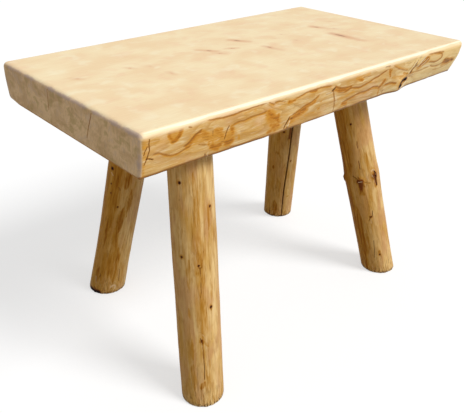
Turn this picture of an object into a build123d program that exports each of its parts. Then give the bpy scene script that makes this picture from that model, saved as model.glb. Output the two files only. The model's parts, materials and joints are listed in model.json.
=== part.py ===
"""Rustic slab table: a half-log slab on four splayed, peeled-pole legs.

Millimetres, +Z up.  The table stands on the plane Z = 0, with the middle of its whole outline
over the origin.  X runs along the slab, and -Y is its front.

Each leg is one pole.  Its head is turned down to a round tenon that enters a blind mortise in
the slab's underside at the leg's own compound splay.  The shoulder round the tenon is mitred
flat against the underside, and a fox wedge in the tenon's kerf opens it inside the mortise.
"""

import os
from dataclasses import dataclass
from math import radians, tan

from build123d import *

# ---------------------------------------------------------------- slab
slab_length = 914.0
slab_width = 540.0  # across the top face
slab_thickness = 82.0
table_height = 626.0  # floor to top face

corner_ease = 9.0  # rounding of the slab's four upright corners
top_arris = 11.0  # round-over along the rim of the top face
bottom_arris = 3.5  # bevel along the rim of the underside

# The long sides are the log's own surface.  Each lean is how far the side has drawn in by the
# underside, at evenly spaced stations from the left end to the right end.
front_lean = (13.0, 12.0, 8.0, 17.0, 19.0, 26.0, 33.0)
back_lean = (9.0, 12.0, 17.0, 22.0, 16.0, 20.0, 26.0)
upright_band = top_arris + 1.0  # the sides start upright, down to just past the round-over
mid_depth_share = 0.37  # of its lean a side has drawn in this much, halfway down from there

# ---------------------------------------------------------------- joints
tenon_diameter = 50.0
tenon_length = 46.0  # along the leg, from the shoulder at the leg's axis
mortise_clearance = 0.2  # all round the tenon
mortise_end_gap = 2.0  # glue room past the end of the tenon
tenon_chamfer = 2.5

wedge_length = 32.0
wedge_thick_end = 5.0
wedge_thin_end = 1.6
wedge_side_margin = 1.5  # each side of the wedge stops this short of the tenon's face
kerf_clearance = 0.15  # all round the wedge

# ---------------------------------------------------------------- legs
foot_bevel = 2.5  # round the rim that stands on the floor
shoulder_bevel = 2.5  # the same round the shoulder
ovality = 0.012  # between its ends a pole is this share wider one way and narrower the other


@dataclass
class Leg:
    """One pole: where it enters the underside, how it splays and how thick it is."""

    name: str
    end: int  # -1 for the left end of the slab, 1 for the right
    side: int  # -1 for the front, 1 for the back
    end_inset: float  # from the slab's end to the centre of the seat
    side_inset: float  # from the slab's long edge to the centre of the seat
    end_splay: float  # degrees outwards, towards the end
    side_splay: float  # degrees outwards, towards the long edge
    head_girth: float  # the pole's diameter at the seat
    foot_girth: float  # and at the floor
    waist: tuple  # between them: pairs of a share of the way down and the diameter there


legs = (
    Leg(
        "front_left", -1, -1, 156.0, 89.2, 4.5, 8.2, 88.2, 90.2,
        ((0.22, 88.6), (0.38, 91.0), (0.52, 90.2), (0.76, 91.8)),
    ),
    Leg(
        "back_left", -1, 1, 235.8, 157.4, 8.45, 10.6, 91.5, 92.4,
        ((0.38, 91.2), (0.5, 89.8), (0.66, 88.4), (0.82, 89.2)),
    ),
    Leg(
        "back_right", 1, 1, 190.5, 156.3, 7.0, 10.1, 96.5, 88.2,
        (),
    ),
    Leg(  # this pole swells at a whorl of branch stubs
        "front_right", 1, -1, 209.8, 183.6, 8.6, 11.85, 85.5, 86.6,
        ((0.36, 85.6), (0.43, 89.0), (0.475, 94.6), (0.505, 94.6), (0.55, 91.4), (0.62, 88.8)),
    ),
)

# The back right pole dried with one long check down its inner face.
checked_leg = "back_right"
check_depth = 20.0
check_mouth = 5.0
check_top_share = 0.08  # where the check starts, as a share of the way down the leg
check_full_share = 0.3  # where it has opened to its full mouth
check_foot_opening = 0.7  # of its full mouth and depth, at the floor
check_bearing = -96.0  # degrees round the pole from +X, at the seat
check_drift = -27.0  # degrees that it winds round by the foot

underside = table_height - slab_thickness


# ---------------------------------------------------------------- slab
def long_edge(side, lean, lean_share):
    """Points of one long edge: side -1 or 1, drawn in by a share of its lean."""
    last = len(lean) - 1
    return [
        (slab_length * (i / last - 0.5), side * (slab_width / 2 - lean_share * lean[i]))
        for i in range(len(lean))
    ]


def slab_outline(height, lean_share):
    """The slab's closed outline at one height, with eased corners."""
    front = long_edge(-1, front_lean, lean_share)
    back = long_edge(1, back_lean, lean_share)
    with BuildSketch(Plane.XY.offset(height)) as outline:
        with BuildLine():
            if lean_share:
                Spline(*front)
                Spline(*back)
            else:
                Line(front[0], front[-1])
                Line(back[0], back[-1])
            Line(front[0], back[0])
            Line(front[-1], back[-1])
        make_face()
        fillet(outline.vertices(), radius=corner_ease)
    return outline.sketch.face()


def slab_blank():
    """The sawn slab with its round log sides and softened rims, before the mortises."""
    band_foot = table_height - upright_band
    log_sides = loft(
        [
            slab_outline(underside, 1.0),
            slab_outline((underside + band_foot) / 2, mid_depth_share),
            slab_outline(band_foot, 0.0),
        ]
    )
    blank = log_sides + extrude(slab_outline(band_foot, 0.0), upright_band)
    top_rim = blank.faces().sort_by(Axis.Z)[-1].edges()
    blank = fillet(top_rim, radius=top_arris)
    bottom_rim = blank.faces().sort_by(Axis.Z)[0].edges()
    return chamfer(bottom_rim, length=bottom_arris)


def slab_top():
    """The whole slab, with one blind mortise for each leg."""
    slab = slab_blank()
    for leg in legs:
        slab -= tenon_stock(leg, mortise_clearance, tenon_length + mortise_end_gap)
    return slab


# ---------------------------------------------------------------- legs
def seat_plane(leg):
    """The leg's own plane at the middle of its seat: Z runs up the leg into the slab."""
    seat = Vector(
        leg.end * (slab_length / 2 - leg.end_inset),
        leg.side * (slab_width / 2 - leg.side_inset),
        underside,
    )
    up_the_leg = Vector(
        -leg.end * tan(radians(leg.end_splay)), -leg.side * tan(radians(leg.side_splay)), 1
    )
    return Plane(origin=seat, x_dir=(1, 0, 0), z_dir=up_the_leg)


def tenon_stock(leg, clearance, length):
    """A round tenon, or its mortise, that starts well below the shoulder."""
    radius = tenon_diameter / 2 + clearance
    start = -tenon_diameter
    return seat_plane(leg) * Pos(0, 0, start) * extrude(Circle(radius), length - start)


def length_to_floor(leg):
    """Along the leg's axis, from the middle of the seat to the floor."""
    return underside / seat_plane(leg).z_dir.Z


def girths(leg):
    """The pole's diameters, each with its distance below the seat, from head to foot."""
    to_floor = length_to_floor(leg)
    collar = leg.head_girth / 2  # at both ends the pole keeps one diameter for this far
    waist = [(share * to_floor, girth) for share, girth in leg.waist]
    return (
        [(-collar, leg.head_girth), (collar, leg.head_girth)]
        + waist
        + [(to_floor - collar, leg.foot_girth), (to_floor + collar, leg.foot_girth)]
    )


def girth_at(leg, down):
    """The pole's diameter a given distance below its seat."""
    known = girths(leg)
    for (above, girth_above), (below, girth_below) in zip(known, known[1:]):
        if down <= below:
            share = (down - above) / (below - above)
            return girth_above + share * (girth_below - girth_above)
    return leg.foot_girth


def round_pole(leg):
    """The peeled pole, square ended, running past both the underside and the floor."""
    sections = []
    for down, girth in girths(leg):
        radius = girth / 2
        if (down, girth) in girths(leg)[2:-2]:
            across = Ellipse(radius * (1 + ovality), radius * (1 - ovality))
        else:
            across = Circle(radius)
        sections.append(seat_plane(leg) * Pos(0, 0, -down) * across)
    return loft(sections, ruled=True)


def drying_check(leg):
    """A narrow V down the side of a pole, fading out at its upper end and open at the foot."""
    to_floor = length_to_floor(leg)
    past_the_floor = 1 + leg.foot_girth / to_floor / 2
    sections = []
    for share, opened in (
        (check_top_share, 0.1),
        (check_full_share, 1.0),
        (past_the_floor, check_foot_opening),
    ):
        down = share * to_floor
        radius = girth_at(leg, down) / 2
        mouth = check_mouth * opened
        lips = radius + check_mouth
        bearing = check_bearing + check_drift * share
        blade = Polygon(
            (radius - check_depth * opened, 0), (lips, -mouth / 2), (lips, mouth / 2), align=None
        )
        sections.append(seat_plane(leg) * Pos(0, 0, -down) * Rot(0, 0, bearing) * blade)
    return loft(sections, ruled=True)


def wedge_stock(leg, clearance, width, overrun):
    """The fox wedge, or the kerf it opens: thin end down, thick end at the mortise's end."""
    top = tenon_length + mortise_end_gap - kerf_clearance
    taper = (wedge_thick_end - wedge_thin_end) / wedge_length / 2
    half_top = wedge_thick_end / 2 + taper * overrun + clearance
    half_bottom = wedge_thin_end / 2 + clearance
    bottom = top - wedge_length - clearance
    profile = Plane.XZ * Polygon(
        (-half_bottom, bottom), (half_bottom, bottom), (half_top, top + overrun), (-half_top, top + overrun),
        align=None,
    )
    return seat_plane(leg) * extrude(profile, amount=width / 2, both=True)


def leg_pole(leg):
    """One finished leg: pole, mitred shoulder, tenon with its kerf, and a flat foot."""
    pole = round_pole(leg)
    pole = split(pole, bisect_by=Plane.XY.offset(underside), keep=Keep.BOTTOM)
    pole = split(pole, bisect_by=Plane.XY, keep=Keep.TOP)
    pole = chamfer(pole.faces().sort_by(Axis.Z)[0].edges(), length=foot_bevel)
    pole = chamfer(pole.faces().sort_by(Axis.Z)[-1].edges(), length=shoulder_bevel)
    if leg.name == checked_leg:
        pole -= drying_check(leg)
    tenon = tenon_stock(leg, 0.0, tenon_length)
    tenon = chamfer(tenon.faces().sort_by(Axis.Z)[-1].edges(), length=tenon_chamfer)
    kerf = wedge_stock(leg, kerf_clearance, 2 * tenon_diameter, tenon_diameter)
    return pole + tenon - kerf


def fox_wedge(leg):
    """The wedge alone, driven home against the end of the mortise."""
    return wedge_stock(leg, 0.0, tenon_diameter - 2 * wedge_side_margin, 0.0)


# ---------------------------------------------------------------- the table
def build_table():
    """Every piece by name, moved so that the middle of the whole outline is over the origin."""
    pieces = {"slab_top": slab_top()}
    for leg in legs:
        pieces["leg_" + leg.name] = leg_pole(leg)
        pieces["fox_wedge_" + leg.name] = fox_wedge(leg)
    outline = Compound(list(pieces.values())).bounding_box()
    centred = Pos(-outline.center().X, -outline.center().Y, 0)
    return {name: centred * piece for name, piece in pieces.items()}


os.makedirs("parts", exist_ok=True)
for name, piece in build_table().items():
    export_step(piece, f"parts/{name}.step")
    size = piece.bounding_box().size
    print(f"{name}: {len(piece.solids())} solid, {size.X:.1f} x {size.Y:.1f} x {size.Z:.1f} mm")
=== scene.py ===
# %% [markdown]
# # A rustic slab table, dressed in its wood
# The table is one thick slab, sawn from the middle of a log, on four peeled poles.  Its joinery
# is fixed already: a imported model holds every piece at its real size.  This script loads that
# model as a frame and gives the wood its surface, because it is the surface that makes
# hand-worked timber: hollows from the drawknife, knots, cracks, and growth rings that show as
# bands wherever the blade cut through them.

import itertools
import json
import math

import bmesh
import bpy
import numpy as np
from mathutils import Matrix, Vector
from mathutils.kdtree import KDTree


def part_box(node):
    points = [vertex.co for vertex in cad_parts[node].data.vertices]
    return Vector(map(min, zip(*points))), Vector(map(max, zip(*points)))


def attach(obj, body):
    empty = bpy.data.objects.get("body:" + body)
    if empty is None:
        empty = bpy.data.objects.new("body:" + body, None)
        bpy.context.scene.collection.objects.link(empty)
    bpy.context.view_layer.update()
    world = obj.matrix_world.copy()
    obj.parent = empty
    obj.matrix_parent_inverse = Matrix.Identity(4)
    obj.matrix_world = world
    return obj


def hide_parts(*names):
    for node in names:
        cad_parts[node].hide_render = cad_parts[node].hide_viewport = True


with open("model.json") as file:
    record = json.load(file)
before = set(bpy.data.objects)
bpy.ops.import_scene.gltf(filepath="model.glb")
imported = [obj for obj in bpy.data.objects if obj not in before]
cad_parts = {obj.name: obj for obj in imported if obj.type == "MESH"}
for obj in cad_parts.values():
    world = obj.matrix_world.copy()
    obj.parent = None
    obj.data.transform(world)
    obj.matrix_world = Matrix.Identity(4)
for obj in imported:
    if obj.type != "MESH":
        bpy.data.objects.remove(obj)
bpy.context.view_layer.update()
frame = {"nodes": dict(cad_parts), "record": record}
mounts = {mount["name"]: Vector(mount["pos_m"]) for mount in frame["record"]["mounts"]}
print("pieces in the frame:", sorted(frame["nodes"]))

# %% [markdown]
# ## Measures
# Blender works in metres, and a joiner in millimetres, so sizes are written in millimetres and
# turned into metres once, at the end.  The slab's own measures come from the frame.  Its places
# are counted from the middle of the top face: x along the slab, y towards the back, z upwards.

# %% Measure the slab
MM = 0.001
top_middle = np.array(mounts["table_top"])
low_corner, high_corner = (np.array(corner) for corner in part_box("slab_top"))
half_length = (high_corner[0] - low_corner[0]) / MM / 2
half_width = (high_corner[1] - top_middle[1]) / MM
thickness = (high_corner[2] - low_corner[2]) / MM
underside = low_corner[2]
print(f"slab: {2 * half_length:.0f} x {2 * half_width:.0f} x {thickness:.0f} mm")

# %% [markdown]
# ## Camera
# Furniture is usually looked at from standing height, a few steps back, so the camera stands
# there with a normal lens.  It is placed by how many slab lengths it stands from the middle of
# the top, so it would keep its view of a longer table.

# %% Place the camera
camera_reach = np.array([-1.004, -1.128, 0.398])  # in slab lengths, from the middle of the top
camera_tilt, camera_turn = 60.91, -40.36  # degrees from straight down, and round from +Y
focal_length = 47.53  # millimetres, on a 36 mm sensor

camera_data = bpy.data.cameras.new("camera")
camera_data.sensor_width = 36
camera_data.lens = focal_length
camera = bpy.data.objects.new("camera", camera_data)
camera.location = top_middle + camera_reach * 2 * half_length * MM
camera.rotation_euler = (math.radians(camera_tilt), 0, math.radians(camera_turn))
bpy.context.scene.collection.objects.link(camera)
bpy.context.scene.camera = camera
bpy.context.scene.view_settings.view_transform = "Standard"  # colours show as they are written
print("camera at", [round(part, 3) for part in camera.location])

# %% [markdown]
# ## Light
# One broad lamp stands high at the front right, like a big window, and the room fills the rest.
# A sun lamp with a wide angle does that evenly over the whole table.  Together they light a
# level surface at about the strength that shows a colour as it is written, so the paints below
# can be chosen.

# %% Hang the lamp
key_direction = Vector((0.30, -0.62, 0.72))  # from the table towards the lamp
key_lamp = bpy.data.lights.new("window", "SUN")
key_lamp.energy = 2.75
key_lamp.angle = math.radians(24)
key = bpy.data.objects.new("window", key_lamp)
key.rotation_euler = key_direction.to_track_quat("Z", "Y").to_euler()
bpy.context.scene.collection.objects.link(key)
print("lamp strength", key_lamp.energy)

# %% [markdown]
# ## Writing finishes as sums
# A material in Blender is a graph of small nodes, and a long graph is hard to read.  Here a
# node's output is wrapped in a class that knows plus, minus, times and divide, so the graph can
# be written as a sum, and each sign adds its Math node.  Colours and vectors have nodes of their
# own, because a Math node would turn a colour grey.

# %% Colours from a paint card
def linear(shade):
    """A colour written as on a paint card, "#RRGGBB", as the numbers that Blender mixes."""
    parts = [int(shade[i : i + 2], 16) / 255 for i in (1, 3, 5)]
    return [((p + 0.055) / 1.055) ** 2.4 if p > 0.04045 else p / 12.92 for p in parts] + [1.0]


# %% A socket that can be added and multiplied
class Signal:
    """One output of a node, used in a sum as if it were a number."""

    def __init__(self, finish, socket):
        self.finish, self.socket = finish, socket

    def maths(self, operation, first, second=None):
        parts = [first] if second is None else [first, second]
        return self.finish.node("ShaderNodeMath", {"operation": operation}, dict(enumerate(parts)))

    def __add__(self, other):
        return self.maths("ADD", self, other)

    def __sub__(self, other):
        return self.maths("SUBTRACT", self, other)

    def __rsub__(self, other):
        return self.maths("SUBTRACT", other, self)

    def __mul__(self, other):
        return self.maths("MULTIPLY", self, other)

    def __truediv__(self, other):
        return self.maths("DIVIDE", self, other)

    def __pow__(self, other):
        return self.maths("POWER", self, other)

    __radd__, __rmul__ = __add__, __mul__

    def fraction(self):
        """What is left after the whole number: a ramp that starts again at every ring."""
        return self.maths("FRACT", self)

    def smooth(self, start, end):
        """0 below start, 1 above end, and an even curve between."""
        sockets = {"Value": self, "From Min": start, "From Max": end}
        return self.finish.node("ShaderNodeMapRange", {"interpolation_type": "SMOOTHSTEP"}, sockets)


# %% A material with short ways to add nodes
class Finish:
    """One procedural material, built node by node."""

    def __init__(self, name):
        self.material = bpy.data.materials.new(name)
        self.material.use_nodes = True
        self.tree = self.material.node_tree
        self.shader = self.tree.nodes["Principled BSDF"]

    def feed(self, socket, value):
        """Links a signal to a socket, or sets the socket to a plain value."""
        if isinstance(value, Signal):
            self.tree.links.new(value.socket, socket)
        else:
            socket.default_value = value

    def node(self, kind, settings, sockets, output=0):
        """Adds a node: its settings first, then the values or links of its sockets."""
        made = self.tree.nodes.new(kind)
        for name, value in settings.items():
            setattr(made, name, value)
        for name, value in sockets.items():
            self.feed(made.inputs[name], value)
        return Signal(self, made.outputs[output])

    def painted(self, name, output="Fac"):
        """A value that was painted on the mesh, point by point."""
        settings = {"attribute_type": "GEOMETRY", "attribute_name": name}
        return self.node("ShaderNodeAttribute", settings, {}, output)

    def stretched(self, place, sizes):
        """A place divided by a size each way, so that noise comes out that large."""
        scale = [1 / size for size in sizes]
        return self.node("ShaderNodeVectorMath", {"operation": "MULTIPLY"}, {0: place, 1: scale})

    def noise(self, place, sizes, detail=2.0, roughness=0.5, twist=0.0):
        """Cloudy noise from about 0.2 to 0.8, whose clouds have the given sizes."""
        sockets = {
            "Vector": self.stretched(place, sizes),
            "Scale": 1.0,
            "Detail": detail,
            "Roughness": roughness,
            "Distortion": twist,
        }
        return self.node("ShaderNodeTexNoise", {"noise_dimensions": "3D"}, sockets)

    def mix(self, share, one, other):
        """One colour turning into the other as the share goes from 0 to 1."""
        return self.node("ShaderNodeMix", {"data_type": "RGBA"}, {0: share, 6: one, 7: other}, 2)

    def coats(self, colour, *coats):
        """Thin coats over a colour, one after another: each is its share and its paint."""
        for share, shade in coats:
            colour = self.mix(share, colour, linear(shade))
        return colour

    def shadeable(self, **sockets):
        """Feeds the shader's own sockets, named with _ for a space."""
        for name, value in sockets.items():
            self.feed(self.shader.inputs[name.replace("_", " ")], value)

    def relief(self, height, strength, distance):
        """Fine height as a bump on the shader's normal."""
        sockets = {"Height": height, "Strength": strength, "Distance": distance}
        self.shadeable(Normal=self.node("ShaderNodeBump", {}, sockets))


# %% [markdown]
# ## Floor and backdrop
# The floor is a plain pale studio floor.  What the camera sees of it is lifted to white by a
# little glow that only camera rays and reflections meet, so the background is bright while the
# table's own light stays calm, and its soft shadow stays on the floor.

# %% Lay the floor
glow = 0.60  # what the camera sees on top of the floor's own light
floor_half = 14.0

floor_mesh = bpy.data.meshes.new("studio_floor")
corners = [(x * floor_half, y * floor_half, -0.0005) for x, y in ((-1, -1), (1, -1), (1, 1), (-1, 1))]
floor_mesh.from_pydata(corners, [], [(0, 1, 2, 3)])
floor = bpy.data.objects.new("studio_floor", floor_mesh)
bpy.context.scene.collection.objects.link(floor)

floor_finish = Finish("studio floor")
rays = [floor_finish.node("ShaderNodeLightPath", {}, {}, "Is Camera Ray")]
rays.append(floor_finish.node("ShaderNodeLightPath", {}, {}, "Is Glossy Ray"))
seen = floor_finish.mix(rays[0] + rays[1], linear("#000000"), [glow, glow, glow, 1.0])
floor_finish.shadeable(Base_Color=linear("#ABABAB"), Roughness=0.9, Emission_Color=seen)
floor_finish.shadeable(Emission_Strength=1.0, Specular_IOR_Level=0.0)
floor_mesh.materials.append(floor_finish.material)

# %% Fill the room with light
room_strength, backdrop_strength = 0.42, 1.0
room = bpy.data.worlds.new("room")
room.use_nodes = True
bpy.context.scene.world = room
room_nodes, room_links = room.node_tree.nodes, room.node_tree.links
room_light = room_nodes["Background"]
room_light.inputs["Color"].default_value = linear("#FFFFFF")
room_light.inputs["Strength"].default_value = room_strength
backdrop = room_nodes.new("ShaderNodeBackground")
backdrop.inputs["Color"].default_value = linear("#FFFFFF")
backdrop.inputs["Strength"].default_value = backdrop_strength
which = room_nodes.new("ShaderNodeMixShader")
room_links.new(room_nodes.new("ShaderNodeLightPath").outputs["Is Camera Ray"], which.inputs[0])
room_links.new(room_light.outputs[0], which.inputs[1])
room_links.new(backdrop.outputs[0], which.inputs[2])
room_links.new(which.outputs[0], room_nodes["World Output"].inputs["Surface"])
print("lamps and floor are in place")

# %% [markdown]
# ## Tools for uneven wood
# Hand-worked wood is never quite flat, but it isn't random either: hollows run along the grain,
# and marks follow lines.  Two small tools cover both.  The first is smooth noise with its own
# size in each direction.  The second measures how far each point lies from a line drawn through
# given points, and on which side, and everything from a crack to a ring's edge is painted
# with it.

# %% Smooth noise
table_cells = 32  # the noise repeats after this many bumps each way


def wander(places, sizes, seed):
    """Smooth noise from -1 to 1 at each place; sizes are how far its bumps reach each way."""
    cells = np.asarray(places, float) / np.asarray(sizes, float)
    corner = np.floor(cells).astype(int)
    inside = cells - corner
    inside = inside * inside * (3 - 2 * inside)
    table = np.random.default_rng(seed).uniform(-1, 1, (table_cells,) * 3)
    total = np.zeros(len(cells))
    for step in itertools.product((0, 1), repeat=3):
        weight = np.prod(np.where(step, inside, 1 - inside), axis=1)
        i, j, k = ((corner + step) % table_cells).T
        total += weight * table[i, j, k]
    return total


def ease(value, start, end):
    """0 at start, 1 at end, and an even curve between."""
    share = np.clip((np.asarray(value, float) - start) / (end - start), 0, 1)
    return share * share * (3 - 2 * share)


# %% Lines through given points
def rounded_line(points, rounds=2):
    """The same line with its corners cut, twice over, so that it bends instead of kinking."""
    line = np.asarray(points, float)
    for _ in range(rounds if len(line) > 2 else 0):
        near, far = line[:-1], line[1:]
        cut = np.stack([0.75 * near + 0.25 * far, 0.25 * near + 0.75 * far], 1).reshape(-1, line.shape[1])
        line = np.concatenate([line[:1], cut, line[-1:]])
    return line


def jagged(points, seed, step=3.0, throw=0.5):
    """The same line as a crack runs it: in short steps, each thrown a little to one side."""
    line = rounded_line(points, 1)
    run = np.append(0, np.linalg.norm(np.diff(line, axis=0), axis=1).cumsum())
    stops = np.linspace(0, run[-1], max(4, round(run[-1] / step)))
    stepped = np.stack([np.interp(stops, run, part) for part in line.T], 1)
    stepped[1:-1] += np.random.default_rng(seed).uniform(-throw, throw, stepped[1:-1].shape)
    return stepped


def from_line(places, line):
    """How far each flat place is from a line, its side (1 or -1), and how far along it lies."""
    away = np.full(len(places), np.inf)
    side = np.zeros(len(places))
    along = np.zeros(len(places))
    passed = 0.0
    total = np.linalg.norm(np.diff(line, axis=0), axis=1).sum()
    for start, end in zip(line, line[1:]):
        run = end - start
        length = max(np.hypot(*run), 1e-9)
        share = np.clip((places - start) @ run / length**2, 0, 1)
        off = places - start - share[:, None] * run
        gap = np.hypot(*off.T)
        nearer = gap < away
        away[nearer] = gap[nearer]
        side[nearer] = np.sign(run[0] * off[:, 1] - run[1] * off[:, 0])[nearer]
        along[nearer] = (passed + share[nearer] * length) / total
        passed += length
    return away, side, np.clip(along, 0, 1)


# %% [markdown]
# ## The slab's shape
# A slab is a box that a log disagrees with.  It starts as a fine lattice box, whose rim is
# rounded over by pulling each point in towards a smaller box inside, with a wide round along the
# top where hands and planes meet it.  Then the long sides lean in by as much as the log does,
# and the drawknife's shallow hollows are cut into them.  A lattice keeps every face a neat
# four-sided one, and it is easy to count which points belong to which side.

# %% The lattice
def stations(start, end, step, rims, closer):
    """Places from start to end, `step` apart, but `closer` within each (from, to) of the rims."""
    places = [np.linspace(start, end, round((end - start) / step) + 1)]
    for low, high in rims:
        places[0] = places[0][(places[0] < low) | (places[0] > high)]
        places.append(np.linspace(low, high, max(2, round((high - low) / closer) + 1)))
    return np.unique(np.round(np.concatenate(places), 4))


def box_skin(xs, ys, zs):
    """The outside of a lattice box: its points and its four-sided faces."""
    counts = len(xs), len(ys), len(zs)
    i, j, k = np.indices(counts)
    outer = np.zeros(counts, bool)
    for index, count in zip((i, j, k), counts):
        outer |= (index == 0) | (index == count - 1)
    number = np.full(counts, -1)
    number[outer] = np.arange(outer.sum())
    points = np.stack([xs[i[outer]], ys[j[outer]], zs[k[outer]]], 1)
    faces = []
    for axis, end in itertools.product(range(3), (0, -1)):
        sheet = np.take(number, end, axis=axis)
        ring = [sheet[:-1, :-1], sheet[1:, :-1], sheet[1:, 1:], sheet[:-1, 1:]]
        quads = np.stack([corner.ravel() for corner in ring], 1)
        faces.append(quads[:, ::-1] if (end == -1) == (axis == 1) else quads)
    return points, np.concatenate(faces)


top_round, corner_round, bottom_round = 11.0, 6.5, 2.5
knock = 7.0  # how much rounder the lower edge is where the back left corner has been knocked
rim = top_round + 1
end_strips = [(-half_length, rim - half_length), (half_length - rim, half_length)]
slab_xs = stations(-half_length, half_length, 2.0, end_strips, 1.5)
check_strips = [(40, 66), (-122, -82)]  # the end checks run here, and want closer points
side_strips = [(-half_width, rim - half_width), (half_width - rim, half_width)]
slab_ys = stations(-half_width, half_width, 3.6, side_strips + check_strips, 1.7)
slab_zs = stations(-thickness, 0, 1.9, [(-thickness, 5 - thickness), (-rim, 0)], 1.3)
slab_points, slab_faces = box_skin(slab_xs, slab_ys, slab_zs)
print("slab lattice:", len(slab_points), "points")

# %% Round the rim
def round_rim(points):
    """Pulls the box's edges in to their rounds: wide at the top, small underneath."""
    x, y, z = points.T
    lower = bottom_round + knock * ease(np.hypot(x + half_length, y - half_width), 60, 5)
    across = corner_round + (top_round - corner_round) * ease(z, -thickness / 2, -top_round)
    across += (lower - corner_round) * ease(z, 14 - thickness, -thickness)
    down = np.where(z > -thickness / 2, top_round, lower)
    rounds = np.stack([across, across, down], 1)
    low = np.array([-half_length, -half_width, -thickness]) + rounds
    high = np.array([half_length, half_width, 0]) - rounds
    inner = np.clip(points, low, high)
    reach = (points - inner) / rounds
    return inner + rounds * reach / np.linalg.norm(reach, axis=1)[:, None]


slab_points = round_rim(slab_points)
print("rim rounded by", top_round, "mm at the top and", bottom_round, "mm underneath")

# %% Lean the sides in as the log does
front_lean = (10.5, 12.5, 8.0, 16.5, 17.5, 25.0, 29.0)  # drawn in by the underside, left to right
back_lean = (9.0, 12.0, 17.0, 22.0, 16.0, 20.0, 26.0)
fullness = 1.43  # 1 would be a flat slope, and more keeps the side upright for longer


def lean_at(x, leans):
    """How far a side has drawn in by the underside, at each x."""
    places = np.linspace(-half_length, half_length, len(leans))
    line = rounded_line(np.stack([places, leans], 1), 3)
    return np.interp(x, *line.T)


def drawn_in(points):
    """The share of the lean that a point has reached: none near the top, then faster and faster."""
    return np.clip((-points[:, 2] - rim) / (thickness - rim), 0, 1) ** fullness


x, y = slab_points[:, 0], slab_points[:, 1]
front_share, back_share = (half_width - y) / 2 / half_width, (half_width + y) / 2 / half_width
lean = lean_at(x, front_lean) * front_share - lean_at(x, back_lean) * back_share
slab_points[:, 1] += drawn_in(slab_points) * lean
print("sides lean in by up to", max(front_lean + back_lean), "mm")

# %% [markdown]
# The drawknife takes long shallow bites along the log, so its hollows are several times longer
# than they are tall.  They only ever go into the wood.  On the front, one big branch has been cut
# off: two ridges of its wood run up to the right, and a torn hole lies at its foot, beside a
# swelling that the blade went round.

# %% Cut the drawknife's hollows
usual_lean = 20.0


def side_weight(points):
    """Signed closeness to the long sides: -1 on the front, 1 on the back, 0 on the top."""
    depth = -points[:, 2]
    reach = half_width - drawn_in(points) * usual_lean
    outwards = ease(np.abs(points[:, 1]), reach - 26, reach - 8)
    return np.sign(points[:, 1]) * outwards * ease(depth, 3, 15)


def drawknife(points):
    """How deep the hollows go at each point, in millimetres."""
    long_bites = wander(points, (95, 60, 24), 11) + 0.45 * wander(points, (41, 60, 13), 12)
    return 0.9 + 0.7 * long_bites + 0.28 * wander(points, (14, 40, 7), 13)


branch_ridges = ([(255, -43), (264, -27), (276, -12)], [(284, -27), (293, -12), (305, -9)])
branch_valley = [(262, -52), (270, -33), (283, -14)]
swelling_at, swelling_wide, swelling_high = 229, 26, 8.8


def near_line(flat, points, reach):
    """1 on a line, fading out to nothing at about twice its reach."""
    return np.exp(-((from_line(flat, rounded_line(points))[0] / reach) ** 2))


def branch_relief(points):
    """How deep the wood is cut beside the branch, less the two ridges that stand proud."""
    flat = points[:, [0, 2]]
    ridges = sum(near_line(flat, ridge, 4.5) for ridge in branch_ridges)
    around = np.exp(-(((points[:, 0] - 268) / 45) ** 2))
    return around * 1.8 - 2.3 * ridges + 1.6 * near_line(flat, branch_valley, 4)


def swelling(points):
    """How far the log swells out beside the torn hole, growing towards the lower edge."""
    along = np.exp(-(((points[:, 0] - swelling_at) / swelling_wide) ** 2))
    return swelling_high * along * ease(-points[:, 2], 36, 74) * (points[:, 1] < 0)


def carved(points):
    """How deep a long side is cut at each point, less the swelling."""
    bites = drawknife(points) + np.where(points[:, 1] < 0, branch_relief(points), 0)
    return np.maximum(bites, 0) - swelling(points)


sides = side_weight(slab_points)
cut = carved(slab_points)
slab_points[:, 1] -= sides * cut
under_edge = ease(-slab_points[:, 2], thickness - 9, thickness - 1) * np.abs(sides)
chips = np.maximum(0.5 + 0.7 * wander(slab_points, (17, 300, 300), 14), 0)
slab_points[:, 1] -= np.sign(slab_points[:, 1]) * under_edge * chips
print(f"hollows are up to {cut.max():.1f} mm deep")

# %% [markdown]
# ## Cracks and mortises
# A crack is narrower than the lattice, so it is cut like a joint is: a thin blade follows it
# along the surface and is taken away from the wood.  The same cut opens the four mortises that
# the legs' tenons stand in.

# %% A blade that follows a crack
def blade(line, outward, mouth, depth):
    """Points and faces of a thin wedge along a line of surface points, tapered at both ends."""
    line, outward = np.asarray(line, float), np.asarray(outward, float)
    heading = np.gradient(line, axis=0)
    sideways = np.cross(heading, outward)
    sideways /= np.linalg.norm(sideways, axis=1)[:, None]
    share = np.linspace(0, 1, len(line))
    opened = (0.12 + 0.88 * np.sin(np.pi * np.clip(share, 0.03, 0.97)) ** 0.6)[:, None]
    lips = line + outward * 2.0
    rows = [lips - sideways * opened * mouth / 2, lips + sideways * opened * mouth / 2]
    rows.append(line - outward * opened * depth)
    points = np.stack(rows, 1).reshape(-1, 3)
    faces = [(0, 2, 1)]
    for i in range(len(line) - 1):
        here, there = 3 * i, 3 * i + 3
        for a, b in ((0, 1), (1, 2), (2, 0)):
            faces.append((here + a, here + b, there + b, there + a))
    last = 3 * (len(line) - 1)
    faces.append((last, last + 1, last + 2))
    return points, faces


# %% Join meshes, and take one from another
weld_within = 0.004  # millimetres: a cut can leave two points this close, and they become one


def wood_mesh(name, points, faces):
    """A mesh object from points in metres, linked to the scene."""
    mesh = bpy.data.meshes.new(name)
    mesh.from_pydata(np.asarray(points).tolist(), [], [tuple(map(int, face)) for face in faces])
    mesh.validate()
    made = bpy.data.objects.new(name, mesh)
    bpy.context.scene.collection.objects.link(made)
    return made


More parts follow.
